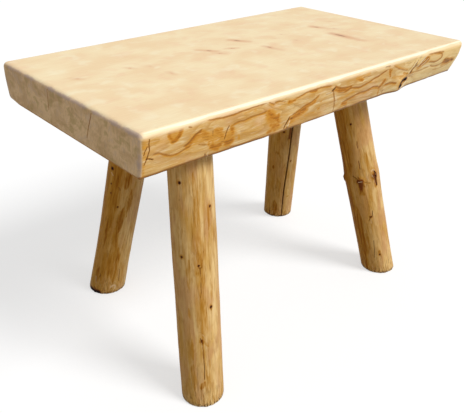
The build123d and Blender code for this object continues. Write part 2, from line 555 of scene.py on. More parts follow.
def joined(shapes):
    """Several (points, faces) as one."""
    points, faces, count = [], [], 0
    for some_points, some_faces in shapes:
        points.append(some_points)
        faces += [tuple(int(corner) + count for corner in face) for face in some_faces]
        count += len(some_points)
    return np.concatenate(points), faces


def outward_faces(mesh_object):
    """Turns every closed shell's faces outwards."""
    bpy.context.view_layer.objects.active = mesh_object
    bpy.ops.object.select_all(action="DESELECT")
    mesh_object.select_set(True)
    bpy.ops.object.mode_set(mode="EDIT")
    bpy.ops.mesh.select_all(action="SELECT")
    bpy.ops.mesh.normals_make_consistent(inside=False)
    bpy.ops.object.mode_set(mode="OBJECT")


def take_away(wood, shapes):
    """Cuts the given closed shapes out of a wood mesh for good."""
    cutter = wood_mesh("cutter", *joined(shapes))
    outward_faces(cutter)
    modifier = wood.modifiers.new("cut", "BOOLEAN")
    modifier.object, modifier.operation, modifier.solver = cutter, "DIFFERENCE", "MANIFOLD"
    graph = bpy.context.evaluated_depsgraph_get()
    cut_mesh = bpy.data.meshes.new_from_object(wood.evaluated_get(graph))
    wood.modifiers.clear()
    welded = bmesh.new()
    welded.from_mesh(cut_mesh)
    bmesh.ops.remove_doubles(welded, verts=welded.verts, dist=weld_within * MM)
    welded.to_mesh(cut_mesh)
    welded.free()
    wood.data = cut_mesh
    bpy.data.objects.remove(cutter)
    print(f"{wood.name}: {len(cut_mesh.vertices)} points after cutting {len(shapes)} shapes")


# %% [markdown]
# ## Where the legs stand
# Each pole is a straight stick between two flat cuts, one at the slab and one at the floor.  The
# frame's own leg gives the middle of both cuts, so the dressed pole stands exactly where the
# joint and the foot are.

# %% Find each pole's axis
tenon_across, tenon_long = 50.0, 46.0  # millimetres, as in the frame
mortise_play, mortise_gap = 0.2, 2.0  # round the tenon, and past its end


def cut_middle(node, height):
    """The middle of the outline that a node has at one height, in metres."""
    points = np.array([vertex.co for vertex in frame["nodes"][node].data.vertices])
    level = points[np.abs(points[:, 2] - height) < 1e-4]
    return np.append((level.min(0) + level.max(0))[:2] / 2, height)


class Pole:
    """A leg's own axes: seat is the middle of its shoulder, and z runs up into the slab."""

    def __init__(self, name, number):
        self.name, self.number = name, number
        self.seat = cut_middle("leg_" + name, underside)
        foot = cut_middle("leg_" + name, 0.0)
        self.z = (self.seat - foot) / np.linalg.norm(self.seat - foot)
        self.x = np.array([1.0, 0, 0]) - self.z[0] * self.z
        self.x /= np.linalg.norm(self.x)
        self.y = np.cross(self.z, self.x)
        self.length = np.linalg.norm(self.seat - foot) / MM

    def place(self, own):
        """Points in the pole's own millimetres as places in the room."""
        own = np.asarray(own, float) * MM
        return self.seat + own[:, :1] * self.x + own[:, 1:2] * self.y + own[:, 2:] * self.z

    def own(self, places):
        """The other way: places in the room in the pole's own millimetres."""
        return (np.asarray(places) - self.seat) @ np.stack([self.x, self.y, self.z], 1) / MM


pole_names = ("front_left", "back_left", "back_right", "front_right")
poles = {name: Pole(name, number) for number, name in enumerate(pole_names)}
for pole in poles.values():
    tilt = math.degrees(math.acos(pole.z[2]))
    print(f"{pole.name}: {pole.length:.0f} mm long, leaning {tilt:.1f} degrees")

# %% [markdown]
# ## The slab's cracks
# Short drying cracks open across the front side where the sawn face let the log dry fastest.
# They are drawn as x along the slab and z down from the top, in millimetres.

# %% The slab's cracks
front_cracks = (  # points, width of the mouth, depth
    ([(-440, -11), (-442, -22), (-440, -29), (-443, -38), (-446, -45), (-450, -55)], 1.2, 5),
    ([(-444, -22), (-448, -28), (-451, -37)], 0.8, 3),
    ([(-443, -45), (-438, -47), (-433, -49)], 1.9, 6),
    ([(-275, -31), (-279, -38), (-281, -46), (-283, -55)], 1.1, 4),
    ([(-123, -54), (-126, -61), (-130, -68), (-132, -75)], 3.6, 9),
    ([(232, -70), (236, -64), (243, -60.5), (252, -59.5), (259, -57.5)], 12.0, 13),
    ([(264, -47), (268, -41), (272, -33), (277, -25), (281, -17)], 1.3, 4),
    ([(-324, -72), (-323, -79)], 1.5, 3),
)
back_cracks = (
    ([(-310, -16), (-305, -32), (-299, -58)], 1.5, 8),
    ([(120, -22), (118, -40), (110, -70)], 1.7, 9),
    ([(388, -12), (386, -36), (390, -62)], 1.3, 7),
)
end_cracks = (  # y and z; the side says which end
    (-1, [(54, -7), (56, -22), (58, -34), (59, -50)], 0.9, 7),
    (-1, [(-115, -8), (-110, -20), (-101, -34), (-89, -61)], 1.1, 8),
    (1, [(-6, -8), (3, -30), (-2, -62)], 1.6, 12),
    (1, [(96, -6), (104, -26), (103, -49)], 1.2, 7),
)


def cracked(cracks, seed):
    """The same cracks, with their lines made jagged."""
    return [(jagged(points, seed + i), *rest) for i, (points, *rest) in enumerate(cracks)]


front_cracks, back_cracks = cracked(front_cracks, 100), cracked(back_cracks, 120)
end_cracks = [(end, jagged(points, 140 + i), *rest) for i, (end, points, *rest) in enumerate(end_cracks)]
print(len(front_cracks) + len(back_cracks) + len(end_cracks), "cracks")


# %% Cut the slab
def side_surface(line, side):
    """Places on a long side, from x and z."""
    places = np.stack([line[:, 0], np.full(len(line), side * half_width), line[:, 1]], 1)
    places[:, 1] -= side * drawn_in(places) * lean_at(line[:, 0], front_lean if side < 0 else back_lean)
    places[:, 1] -= side * carved(places)
    return places


def long_side_blade(line, mouth, depth, side):
    """A blade along a crack in the front (side -1) or the back (1)."""
    return blade(side_surface(line, side), np.tile([0, side, 0.0], (len(line), 1)), mouth, depth)


def end_blade(end, line, mouth, depth):
    """A blade along a crack in the left end (-1) or the right one (1)."""
    places = np.stack([np.full(len(line), end * half_length), line[:, 0], line[:, 1]], 1)
    return blade(places, np.tile([end, 0, 0.0], (len(line), 1)), mouth, depth)


def tube(pole, across, low, high, sides=64):
    """A closed round bar on a pole's axis, from low to high above the seat."""
    turn = np.linspace(0, 2 * np.pi, sides, endpoint=False)
    ring = np.stack([np.cos(turn), np.sin(turn)], 1) * across / 2
    own = np.concatenate([np.column_stack([ring, np.full(sides, at)]) for at in (low, high)])
    faces = [tuple(range(sides))[::-1], tuple(range(sides, 2 * sides))]
    faces += [(i, (i + 1) % sides, sides + (i + 1) % sides, sides + i) for i in range(sides)]
    return pole.place(own), faces


def in_room(shape):
    """A shape drawn in the slab's millimetres, as places in the room."""
    return np.asarray(shape[0]) * MM + top_middle, shape[1]


slab_blades = [in_room(long_side_blade(*crack, -1)) for crack in front_cracks]
slab_blades += [in_room(long_side_blade(*crack, 1)) for crack in back_cracks]
slab_blades += [in_room(end_blade(*crack)) for crack in end_cracks]
mortise_across, mortise_deep = tenon_across + 2 * mortise_play, tenon_long + mortise_gap
mortises = [tube(pole, mortise_across, -tenon_across, mortise_deep) for pole in poles.values()]

slab = wood_mesh("slab_top_dressed", slab_points * MM + top_middle, slab_faces)
take_away(slab, slab_blades + mortises)

# %% [markdown]
# ## Painting the slab's marks
# Each point of the slab gets a few numbers: how amber it is, whether a brown line passes, how
# dark, how much it is end grain or live edge, and how much wear it has.  Along the top's long
# rims that pale band of wear also carries a painted highlight, and some of the brown and dark is
# painted shade, inside the cracks and the torn hole and along the lower edges.  The finish turns
# them into colour later.  Most of them are painted as an even slope that the finish then cuts off
# at one height, as a contour line does on a map, so an edge comes out crisp between the points as
# well.

# %% Paint values on a mesh
def places_of(mesh_object):
    """Every point of a mesh, in metres."""
    flat = np.zeros(len(mesh_object.data.vertices) * 3, np.float32)
    mesh_object.data.vertices.foreach_get("co", flat)
    return flat.reshape(-1, 3).astype(float)


def paint(mesh_object, name, values):
    """Stores one number, or one vector, at each point of a mesh."""
    kind = "FLOAT" if np.ndim(values) == 1 else "FLOAT_VECTOR"
    made = mesh_object.data.attributes.new(name, kind, "POINT")
    field = "value" if kind == "FLOAT" else "vector"
    made.data.foreach_set(field, np.asarray(values, np.float32).ravel())


def crack_shade(places, blades, depths):
    """Painted shade in a crack: 1 at the bottom of a deep crack and 0 on the surface, so that its walls
    darken inwards.
    """
    shade = np.zeros(len(places))
    tree = KDTree(len(places))
    for index, place in enumerate(places):
        tree.insert(place, index)
    tree.balance()
    for (points, _), depth in zip(blades, depths):
        for root in points[2::3]:
            _, index, away = tree.find(root)
            if away < 0.2 * MM:
                shade[index] = max(shade[index], min(1.0, depth / 10))
    return shade


# %% Marks that never weaken what is there
class Marks:
    """Painted values by name, each kept at its strongest where marks overlap."""

    def __init__(self, count, *names):
        self.values = {name: np.zeros(count) for name in names}

    def __getitem__(self, name):
        return self.values[name]

    def lay(self, name, strength, near=slice(None)):
        """Lays one mark on all points, or on those near it."""
        self.values[name][near] = np.maximum(self.values[name][near], strength)


# %% Ring edges, patches and lines
def unsteady(flat, seed, amount=0.9):
    """Flat places shaken a little, so that no painted line is quite even."""
    deep = np.column_stack([flat, np.full(len(flat), 7.0 * seed)])
    slow = [wander(deep, (13, 13, 9), seed + i) for i in (0, 1)]
    quick = [0.4 * wander(deep, (5, 5, 9), seed + 5 + i) for i in (0, 1)]
    return flat + amount * (np.stack(slow, 1) + np.stack(quick, 1))


def slope(away, reach):
    """1 at no distance, falling evenly to 0 at the reach."""
    return np.clip(1 - away / reach, 0, 1)


def ring_edge(flat, points, fade, strength, fill_side):
    """A brown line, and amber that fades out on one side of it."""
    away, side, along = from_line(flat, rounded_line(points))
    ends = ease(along, 0, 0.1) * ease(1 - along, 0, 0.1)
    line = strength * slope(away, 3.8) * (0.5 + 0.5 * ends)
    fill = strength * slope(away, fade) * (side * fill_side > 0) * ends
    return line, fill


def patch(flat, points, wide, strength):
    """A patch along a line: full in its middle, and sloping off around its rim."""
    away, _, _ = from_line(flat, rounded_line(points))
    return strength * np.clip(1.4 - 0.9 * away / wide, 0, 1)



# %% [markdown]
# Where the drawknife cut through a growth ring, the ring shows as a brown line with amber wood
# fading out on one side of it.  Noise could draw such rings, but it never puts them where this
# log has them, so the main ones are drawn from x and z along the front, in millimetres.

# %% Rings that the blade cut
front_edges = (  # points, how far its amber reaches, strength, and its side: 1 is below the line
    ([(-437, -43), (-430, -39), (-421, -40), (-411, -47), (-398, -53), (-386, -54), (-374, -49),
      (-362, -48), (-352, -42)], 5, 0.8, 1),
    ([(-373, -44), (-363, -41), (-356, -34), (-351, -28), (-345, -26), (-334, -22)], 15, 1.0, 1),
    ([(-334, -6), (-320, -8), (-308, -9), (-294, -12), (-272, -12), (-250, -10), (-205, -9),
      (-184, -10)], 5, 0.8, 1),
    ([(-184, -9), (-178, -12), (-166, -16)], 5, 0.7, 1),
    ([(-168, -12), (-150, -14), (-138, -19)], 4, 0.7, 1),
    ([(-271, -33), (-261, -29), (-252, -28), (-241, -30), (-232, -27), (-212, -27), (-191, -26),
      (-181, -24)], 8, 0.75, 1),
    ([(-120, -53), (-106, -48), (-95, -44), (-84, -39), (-72, -38), (-60, -33), (-50, -28),
      (-44, -23)], 8, 0.8, 1),
    ([(-119, -16), (-107, -17), (-96, -15), (-85, -12), (-68, -12), (-50, -11), (-39, -10), (-20, -13),
      (-7, -15)], 5, 0.75, 1),
    ([(-4, -16), (4, -20), (14, -24), (27, -27), (41, -28), (57, -27)], 9, 0.9, 1),
    ([(24, -38), (38, -37), (50, -32), (65, -34), (79, -37), (91, -36), (102, -34), (114, -31),
      (125, -27), (137, -25), (148, -21), (160, -17), (173, -16)], 6, 0.9, 1),
    ([(32, -62), (48, -59), (60, -56), (74, -53), (86, -51), (101, -52), (114, -51), (128, -47),
      (142, -49), (156, -53)], 9, 0.9, 1),
    ([(171, -53), (185, -52), (199, -53), (217, -58)], 8, 0.9, 1),
    ([(184, -10), (206, -22), (230, -30), (252, -35)], 8, 0.65, -1),
    ([(268, -43), (285, -45), (302, -46), (323, -43), (340, -42)], 5, 0.6, 1),
    ([(288, -37), (293, -31), (303, -26), (313, -20), (318, -12)], 10, 0.8, 1),
    ([(320, -29), (331, -31), (352, -36), (368, -33), (376, -25), (372, -17), (358, -13),
      (333, -11)], 7, 0.8, -1),
    ([(337, -40), (352, -45), (365, -47), (383, -46), (396, -43)], 5, 0.7, 1),
    ([(358, -55), (386, -58), (409, -57)], 5, 0.5, 1),
    ([(312, -8), (330, -10), (347, -10), (380, -13)], 7, 0.7, 1),
    ([(408, -5), (424, -4), (440, -6)], 6, 0.6, 1),
)

# %% Amber patches
front_patches = (  # points, half width, strength
    ([(-396, -10), (-389, -19)], 9, 0.55),
    ([(-352, -36), (-330, -36), (-306, -44), (-292, -56)], 12, 0.5),
    ([(-300, -48), (-282, -54), (-268, -48)], 11, 0.5),
    ([(-449, -12), (-452, -30), (-455, -80)], 7, 0.34),
    ([(-178, -34), (-165, -50), (-155, -62)], 12, 0.62),
    ([(-118, -62), (-98, -54), (-78, -46)], 10, 0.6),
    ([(66, -13), (86, -14), (106, -11)], 4, 0.5),
    ([(20, -50), (40, -48), (64, -44)], 4, 0.35),
    ([(196, -40), (222, -44), (250, -48)], 5, 0.45),
    ([(290, -34), (306, -30), (318, -24)], 8, 0.55),
    ([(396, -48), (424, -50)], 7, 0.45),
    ([(-240, -16), (-214, -16)], 4, 0.35),
    ([(-401, -12), (-401, -19), (-397, -25)], 4, 0.8),
    ([(-377, -8), (-380, -16), (-385, -22), (-392, -27), (-397, -26)], 4.5, 1.0),
    ([(-456, -48), (-458, -60), (-457, -74)], 4, 0.8),
    ([(-335, -27), (-322, -35)], 6, 0.65),
    ([(-305, -30), (-292, -33)], 3.5, 0.8),
    ([(-304, -34), (-296, -40), (-289, -46)], 5.5, 0.75),
    ([(-318, -56), (-318, -50), (-312, -49), (-310, -54)], 2.4, 0.75),
    ([(-311, -61), (-302, -66), (-293, -64)], 5.5, 0.95),
    ([(-303, -70), (-296, -72)], 3.5, 0.8),
    ([(-278, -63), (-271, -65), (-265, -63)], 6.5, 1.0),
    ([(-274, -57), (-268, -56)], 3.5, 0.7),
    ([(-268, -34), (-266, -41), (-265, -50)], 4.5, 0.75),
    ([(-250, -57), (-248, -64)], 3, 0.6),
    ([(-181, -27), (-177, -34)], 5, 0.85),
    ([(-172, -37), (-163, -43), (-157, -49)], 6, 0.9),
    ([(-155, -41), (-155, -53), (-151, -62)], 4.5, 0.8),
    ([(-171, -58), (-159, -59)], 3.5, 0.8),
    ([(-164, -63), (-158, -72)], 4, 0.75),
    ([(-175, -71), (-167, -70)], 3.5, 0.8),
    ([(-130, -21), (-122, -22), (-115, -20)], 3.5, 0.85),
    ([(-121, -56), (-109, -60)], 5, 0.8),
    ([(-117, -68), (-110, -66)], 3.5, 0.6),
    ([(-112, -57), (-102, -53), (-91, -50), (-82, -46)], 7, 1.0),
    ([(-82, -45), (-67, -42), (-56, -37)], 4, 0.85),
    ([(-75, -13), (-67, -14), (-58, -13)], 3.5, 1.0),
    ([(-75, -62), (-51, -62)], 3, 0.45),
    ([(-41, -58), (-37, -57)], 2.5, 0.7),
    ([(-38, -41), (-36, -41)], 2.5, 0.6),
    ([(2, -23), (16, -29), (32, -33), (48, -31)], 4.5, 0.95),
    ([(38, -65), (50, -67)], 5, 0.8),
    ([(64, -15), (74, -19), (86, -22)], 3.5, 0.75),
    ([(175, -19), (179, -28), (183, -36)], 2.6, 0.9),
    ([(154, -56), (160, -50), (166, -42)], 4.5, 1.0),
    ([(158, -64), (162, -74)], 3, 0.6),
    ([(236, -39), (252, -43)], 3, 0.6),
    ([(396, -40), (408, -42), (419, -44)], 6.5, 1.35),
    ([(310, -15), (322, -22)], 4, 0.8),
)

# %% Brown lines, dark specks and torn wood
front_lines = (  # brown lines with nothing beside them: points, strength
    ([(-4, -26), (-1, -35), (4, -44), (8, -54), (12, -64), (13, -79)], 1.1),
    ([(-26, -30), (-14, -29), (-4, -27)], 0.7),
    ([(-311, -31), (-311, -40)], 0.8),
    ([(-333, -37), (-318, -41)], 0.7),
    ([(-330, -43), (-317, -46)], 0.6),
    ([(-340, -50), (-322, -55)], 0.75),
    ([(-290, -59), (-280, -61)], 0.8),
    ([(-363, -10), (-356, -12)], 0.9),
    ([(-278, -70), (-257, -75)], 0.6),
    ([(-319, -65), (-300, -60)], 0.4),
    ([(-197, -40), (-196, -56)], 0.45),
    ([(-216, -44), (-215, -54)], 0.4),
    ([(12, -35), (25, -37), (38, -37), (48, -34), (60, -33)], 0.8),
    ([(44, -71), (58, -74)], 0.6),
    ([(52, -5), (75, -5), (91, -4), (106, -6), (119, -8), (150, -7)], 0.55),
    ([(86, -17), (99, -18), (115, -18)], 0.7),
    ([(174, -65), (177, -76)], 0.8),
    ([(252, -48), (268, -50), (286, -53)], 0.6),
    ([(248, -43), (259, -28), (270, -10)], 0.6),
    ([(234, -16), (257, -17)], 0.6),
    ([(411, -57), (428, -52), (438, -40)], 0.5),
    ([(268, -44), (272, -36), (280, -27)], 1.1),
    ([(291, -35), (298, -30), (305, -26)], 1.0),
    ([(296, -24), (302, -19), (307, -14)], 1.0),
    ([(303, -33), (312, -27), (323, -17)], 0.9),
    ([(262, -45), (281, -48)], 0.75),
    ([(262, -49), (284, -54)], 0.75),
    ([(264, -53), (286, -59)], 0.7),
    ([(322, -6), (354, -5), (392, -6), (430, -7)], 0.8),
)
front_specks = (  # points, radius, darkness
    ([(-8, -25), (-5, -24), (-1, -21)], 1.5, 0.85),
    ([(155, -53), (159, -53)], 1.6, 0.36),
    ([(161, -49), (163, -49)], 1.2, 0.3),
    ([(181, -20), (183, -20)], 1.4, 0.4),
    ([(-125, -76), (-122, -75)], 1.5, 0.5),
    ([(-118, -57), (-115, -58)], 1.2, 0.6),
    ([(267, -45), (270, -41)], 1.3, 0.5),
    ([(404, -42), (412, -43)], 2.6, 0.2),
    ([(426, -43), (437, -46)], 3.0, 0.42),
    ([(157, -8), (173, -9)], 1.3, 0.5),
    ([(186, -4), (189, -4)], 1.2, 0.45),
    ([(274, -28), (277, -24)], 1.2, 0.4),
    ([(-446, -45), (-445, -45)], 1.3, 0.6),
    ([(-311, -40), (-310, -41)], 1.2, 0.42),
)
hole_shade = (  # painted shade round the upper lip of the torn hole, where its inside lies dark
    ([(232, -69), (232, -62), (239, -57), (249, -55.5), (257, -56)], 3.6, 1.0),
    ([(232, -68), (234, -64)], 4.4, 1.0),
)
front_pales = (  # torn, paler wood: points, half width, strength
    ([(239, -77), (249, -71), (260, -65)], 3.4, 1.0),
    ([(268, -60), (262, -53)], 1.6, 0.8),
    ([(262, -45), (271, -32), (279, -18)], 2.4, 0.9),
    ([(286, -33), (295, -22), (305, -12)], 2.4, 0.9),
    ([(299, -34), (309, -27), (318, -19)], 1.7, 0.75),
    ([(306, -38), (322, -37), (338, -42)], 2.2, 0.7),
    ([(262, -47), (284, -51)], 1.4, 0.6),
    ([(263, -51), (286, -56)], 1.4, 0.6),
    ([(-318, -71), (-317, -80)], 1.5, 0.7),
    ([(-119, -63), (-122, -75)], 2.2, 0.8),
    ([(-136, -60), (-146, -62)], 1.5, 0.6),
    ([(-24, -28), (-10, -29)], 2.0, 0.6),
    ([(4, -32), (8, -42), (14, -56)], 2.2, 0.55),
    ([(-300, -52), (-294, -51)], 1.6, 0.55),
)
print("rings, patches and lines:", len(front_edges), len(front_patches), len(front_lines))

# %% Paint the long sides
def side_marks(flat, edges, patches, lines, specks, cracks):
    """Amber, brown lines and dark specks for every point of one long side."""
    shaken, loose = unsteady(flat, 3), unsteady(flat, 9, 1.6)
    side_values = Marks(len(flat), "amber", "brown", "dark")
    for points, fade, strength, fill_side in edges:
        line, fill = ring_edge(shaken, points, fade, strength, -fill_side)
        side_values.lay("amber", fill)
        side_values.lay("brown", line)
    for points, wide, strength in patches:
        side_values.lay("amber", patch(loose, points, wide, strength))
    for points, strength in lines:
        away, _, along = from_line(shaken, rounded_line(points))
        side_values.lay("brown", strength * slope(away, 2.7) * (0.6 + 0.4 * ease(1 - along, 0, 0.3)))
    for points, radius, strength in specks:
        away, _, _ = from_line(shaken, rounded_line(points))
        side_values.lay("dark", strength * slope(away, 2 * radius))
        side_values.lay("amber", 0.7 * slope(away, 4 * radius))
    for line, mouth, _ in cracks:
        side_values.lay("brown", 1.15 * slope(from_line(flat, line)[0], 0.5 * mouth + 1.4))
    return side_values


def mirrored(marks, shift):
    """The same kinds of marks for the back, in other places: the rings run through the log."""
    return [([(shift - px, pz * 0.9 - 4) for px, pz in points], *rest) for points, *rest in marks]


places = (places_of(slab) - top_middle) / MM
flat = places[:, [0, 2]]
slab_marks = Marks(len(places), "amber", "brown", "dark", "rose", "pale")
surface_sides = side_weight(places)
front_marks = (front_edges, front_patches, front_lines, front_specks)
back_marks = [mirrored(marks, 40) for marks in front_marks]
front_marks = (*front_marks[:3], front_specks + hole_shade)
for side, marks in ((-1, (*front_marks, front_cracks)), (1, (*back_marks, back_cracks))):
    near = np.flatnonzero((places[:, 1] * side > half_width - 60) & (places[:, 2] < -2))
    weight = ease(np.abs(surface_sides[near]), 0.05, 0.6)
    for name, values in side_marks(flat[near], *marks).values.items():
        slab_marks.lay(name, values * weight, near)
crack_depths = [crack[-1] for crack in (*front_cracks, *back_cracks, *end_cracks)]
# painted shade, darkest at the bottom of each crack
slab_marks.lay("dark", crack_shade(places * MM + top_middle, slab_blades, crack_depths))
print(f"amber on {np.mean(slab_marks['amber'] > 0.2):.0%} of the slab's points")

# %% [markdown]
# The knots of the top face are the roots of branches.  A board from the log's middle cuts them
# lengthwise, so each is a dark eye that trails off away from the middle.  Around it the wood is
# rosier.  The rims of the sawn ends are a dull lilac grey.

# %% Paint the knots of the top
top_knots = (  # from, to (x and y), where its eye lies between them, half width, darkness
    ((-399, 62), (-386, 45), 0.5, 5.0, 0.62),
    ((-280, 57), (-270, 40), 0.5, 4.5, 0.66),
    ((-241, 37), (-232, 29), 0.5, 4.5, 0.5),
    ((-230, -23), (-231, -48), 0.5, 4.5, 0.62),
    ((-84, 72), (-57, 36), 0.62, 5.0, 0.86),
    ((-70, 28), (-56, 10), 0.6, 4.5, 0.8),
    ((-25, 39), (-3, 26), 0.5, 4.5, 0.8),
    ((31, 93), (55, 53), 0.4, 5.5, 1.0),
    ((55, -2), (62, -52), 0.28, 5.0, 0.8),
    ((146, -5), (154, -16), 0.5, 5.0, 0.5),
    ((283, 62), (297, 24), 0.25, 5.5, 0.9),
    ((266, -19), (269, -114), 0.3, 6.5, 1.0),
    ((303, 18), (320, -1), 0.4, 6.0, 0.6),
    ((160, 60), (170, 48), 0.5, 5.0, 0.5),
    ((120, 42), (130, 30), 0.5, 4.5, 0.45),
    ((352, 88), (372, 60), 0.5, 5.0, 0.45),
)
level = places[:, :2]
is_top = ease(places[:, 2], -6, -1.5)
for start, end, eye_at, wide, strength in top_knots:
    near = np.flatnonzero((np.hypot(*(level - start).T) < 150) & (is_top > 0))
    away, _, along = from_line(unsteady(level[near], 21, 1.6), np.array([start, end], float))
    eye = slope(away, 1.25 * wide) * np.exp(-(((along - eye_at) / 0.3) ** 2))
    trail = 0.6 + 0.4 * np.exp(-(((along - eye_at) / 0.5) ** 2))
    halo = 0.55 * np.exp(-((away / (2.4 * wide)) ** 2)) * trail
    slab_marks.lay("rose", strength * np.maximum(eye, halo), near)
print(len(top_knots), "knots on the top")

# %% Paint the ends and the rims
endless = 900.0  # a noise this long doesn't change over the slab that way
past_end = np.abs(places[:, 0]) - half_length
is_end = np.clip((past_end + 5.0) / 4.0, 0, 1)
for end, line, _, _ in end_cracks:
    near = np.flatnonzero(places[:, 0] * end > half_length - 12)
    away, _, _ = from_line(places[near][:, 1:], line)
    slab_marks.lay("brown", 0.8 * slope(away, 2.6), near)

# The top's long rims are planed and handled most, so a pale band runs along each of them:
# partly wear, and partly a painted highlight where the round-over faces the lamp.
wobble = wander(places, (46, endless, endless), 31) + 0.5 * wander(places, (15, endless, endless), 32)
past_side = np.abs(places[:, 1]) - half_width
front_half = places[:, 1] < 0
edge_lean = np.where(front_half, lean_at(places[:, 0], front_lean), lean_at(places[:, 0], back_lean))
past_edge = past_side + drawn_in(places) * edge_lean
band_foot = 4.4 + 1.4 * wobble - 1.6 * ease(np.abs(places[:, 0]), 260, 430)
worn_and_highlight_band = np.clip((places[:, 2] + band_foot) / 2.2 + 0.5, 0, 1) * ease(past_side, -11, -4)

# The lilac grey is on the rims of the sawn ends: along the top, and down the corners.
end_rim = slope(np.abs(places[:, 2] + 4.5), 8) * ease(past_end, -9, -4)
corner_rim = slope(np.maximum(-6 - past_edge, 0), 15) * ease(past_end, -6, -1)
corner_rim = corner_rim * ease(-places[:, 2], 4, 12)
slab_grey = np.maximum(end_rim, 0.85 * corner_rim) * (0.75 + 0.5 * wander(places, (endless, 21, 14), 33))
# Painted shade: a dark line along the lower edge of the sawn ends and of the long sides.
end_foot_shade = 1.3 * slope(places[:, 2] + thickness, 6.0) * ease(past_end, -6, -1)
side_foot_shade = 1.9 * slope(places[:, 2] + thickness, 8.0) * ease(past_edge, -9, -4)
side_foot_shade = side_foot_shade * np.clip(0.85 + 0.5 * wander(places, (37, endless, endless), 34), 0, 1)
slab_marks.lay("brown", np.maximum(0.8 * end_foot_shade, side_foot_shade))
front = np.flatnonzero(places[:, 1] < 60 - half_width)
loose_front = unsteady(flat[front], 13, 1.3)
for points, wide, strength in front_pales:
    slab_marks.lay("pale", patch(loose_front, points, wide, strength), front)

slab_values = {
    "grain": places,
    "amber": slab_marks["amber"],
    "brown": slab_marks["brown"],
    "dark": slab_marks["dark"],
    "rose": slab_marks["rose"] * is_top,
    "side": np.abs(surface_sides) * (1 - is_end),
    "end": is_end,
    "wear_and_highlight": worn_and_highlight_band * (1 - is_end),
    "pale": slab_marks["pale"] * np.abs(surface_sides),
    "grey": np.clip(slab_grey, 0, 1),
}
for name, values in slab_values.items():
    paint(slab, name, values)
print("painted on the slab:", *slab_values)

# %% [markdown]
# ## The slab's finish
# The wood is a pale softwood under a thin satin oil.  Growth rings are circles round the log's
# middle, so the finish works out how far each place is from that middle, lets it wander a
# little, and starts a new ring every few millimetres.  That one field gives straight grain on
# the top, arcs on the sawn ends, and the map-like bands on the live edges, where the surface
# runs almost along a ring.
#
# The colour is laid on in coats, as a stain is: each coat has a share, which is how much of it
# shows at a place, and a shade.

# %% Growth rings and bands
ring_wide, band_wide = 7.5, 14  # millimetres from one ring to the next, on sawn and on live faces


def late_wood(rings, start=0.5):
    """The dark part of each ring: it builds up slowly and ends sharply."""
    ramp = rings.fraction()
    return ramp.smooth(start, 0.95) * (1 - ramp.smooth(0.95, 1.0))


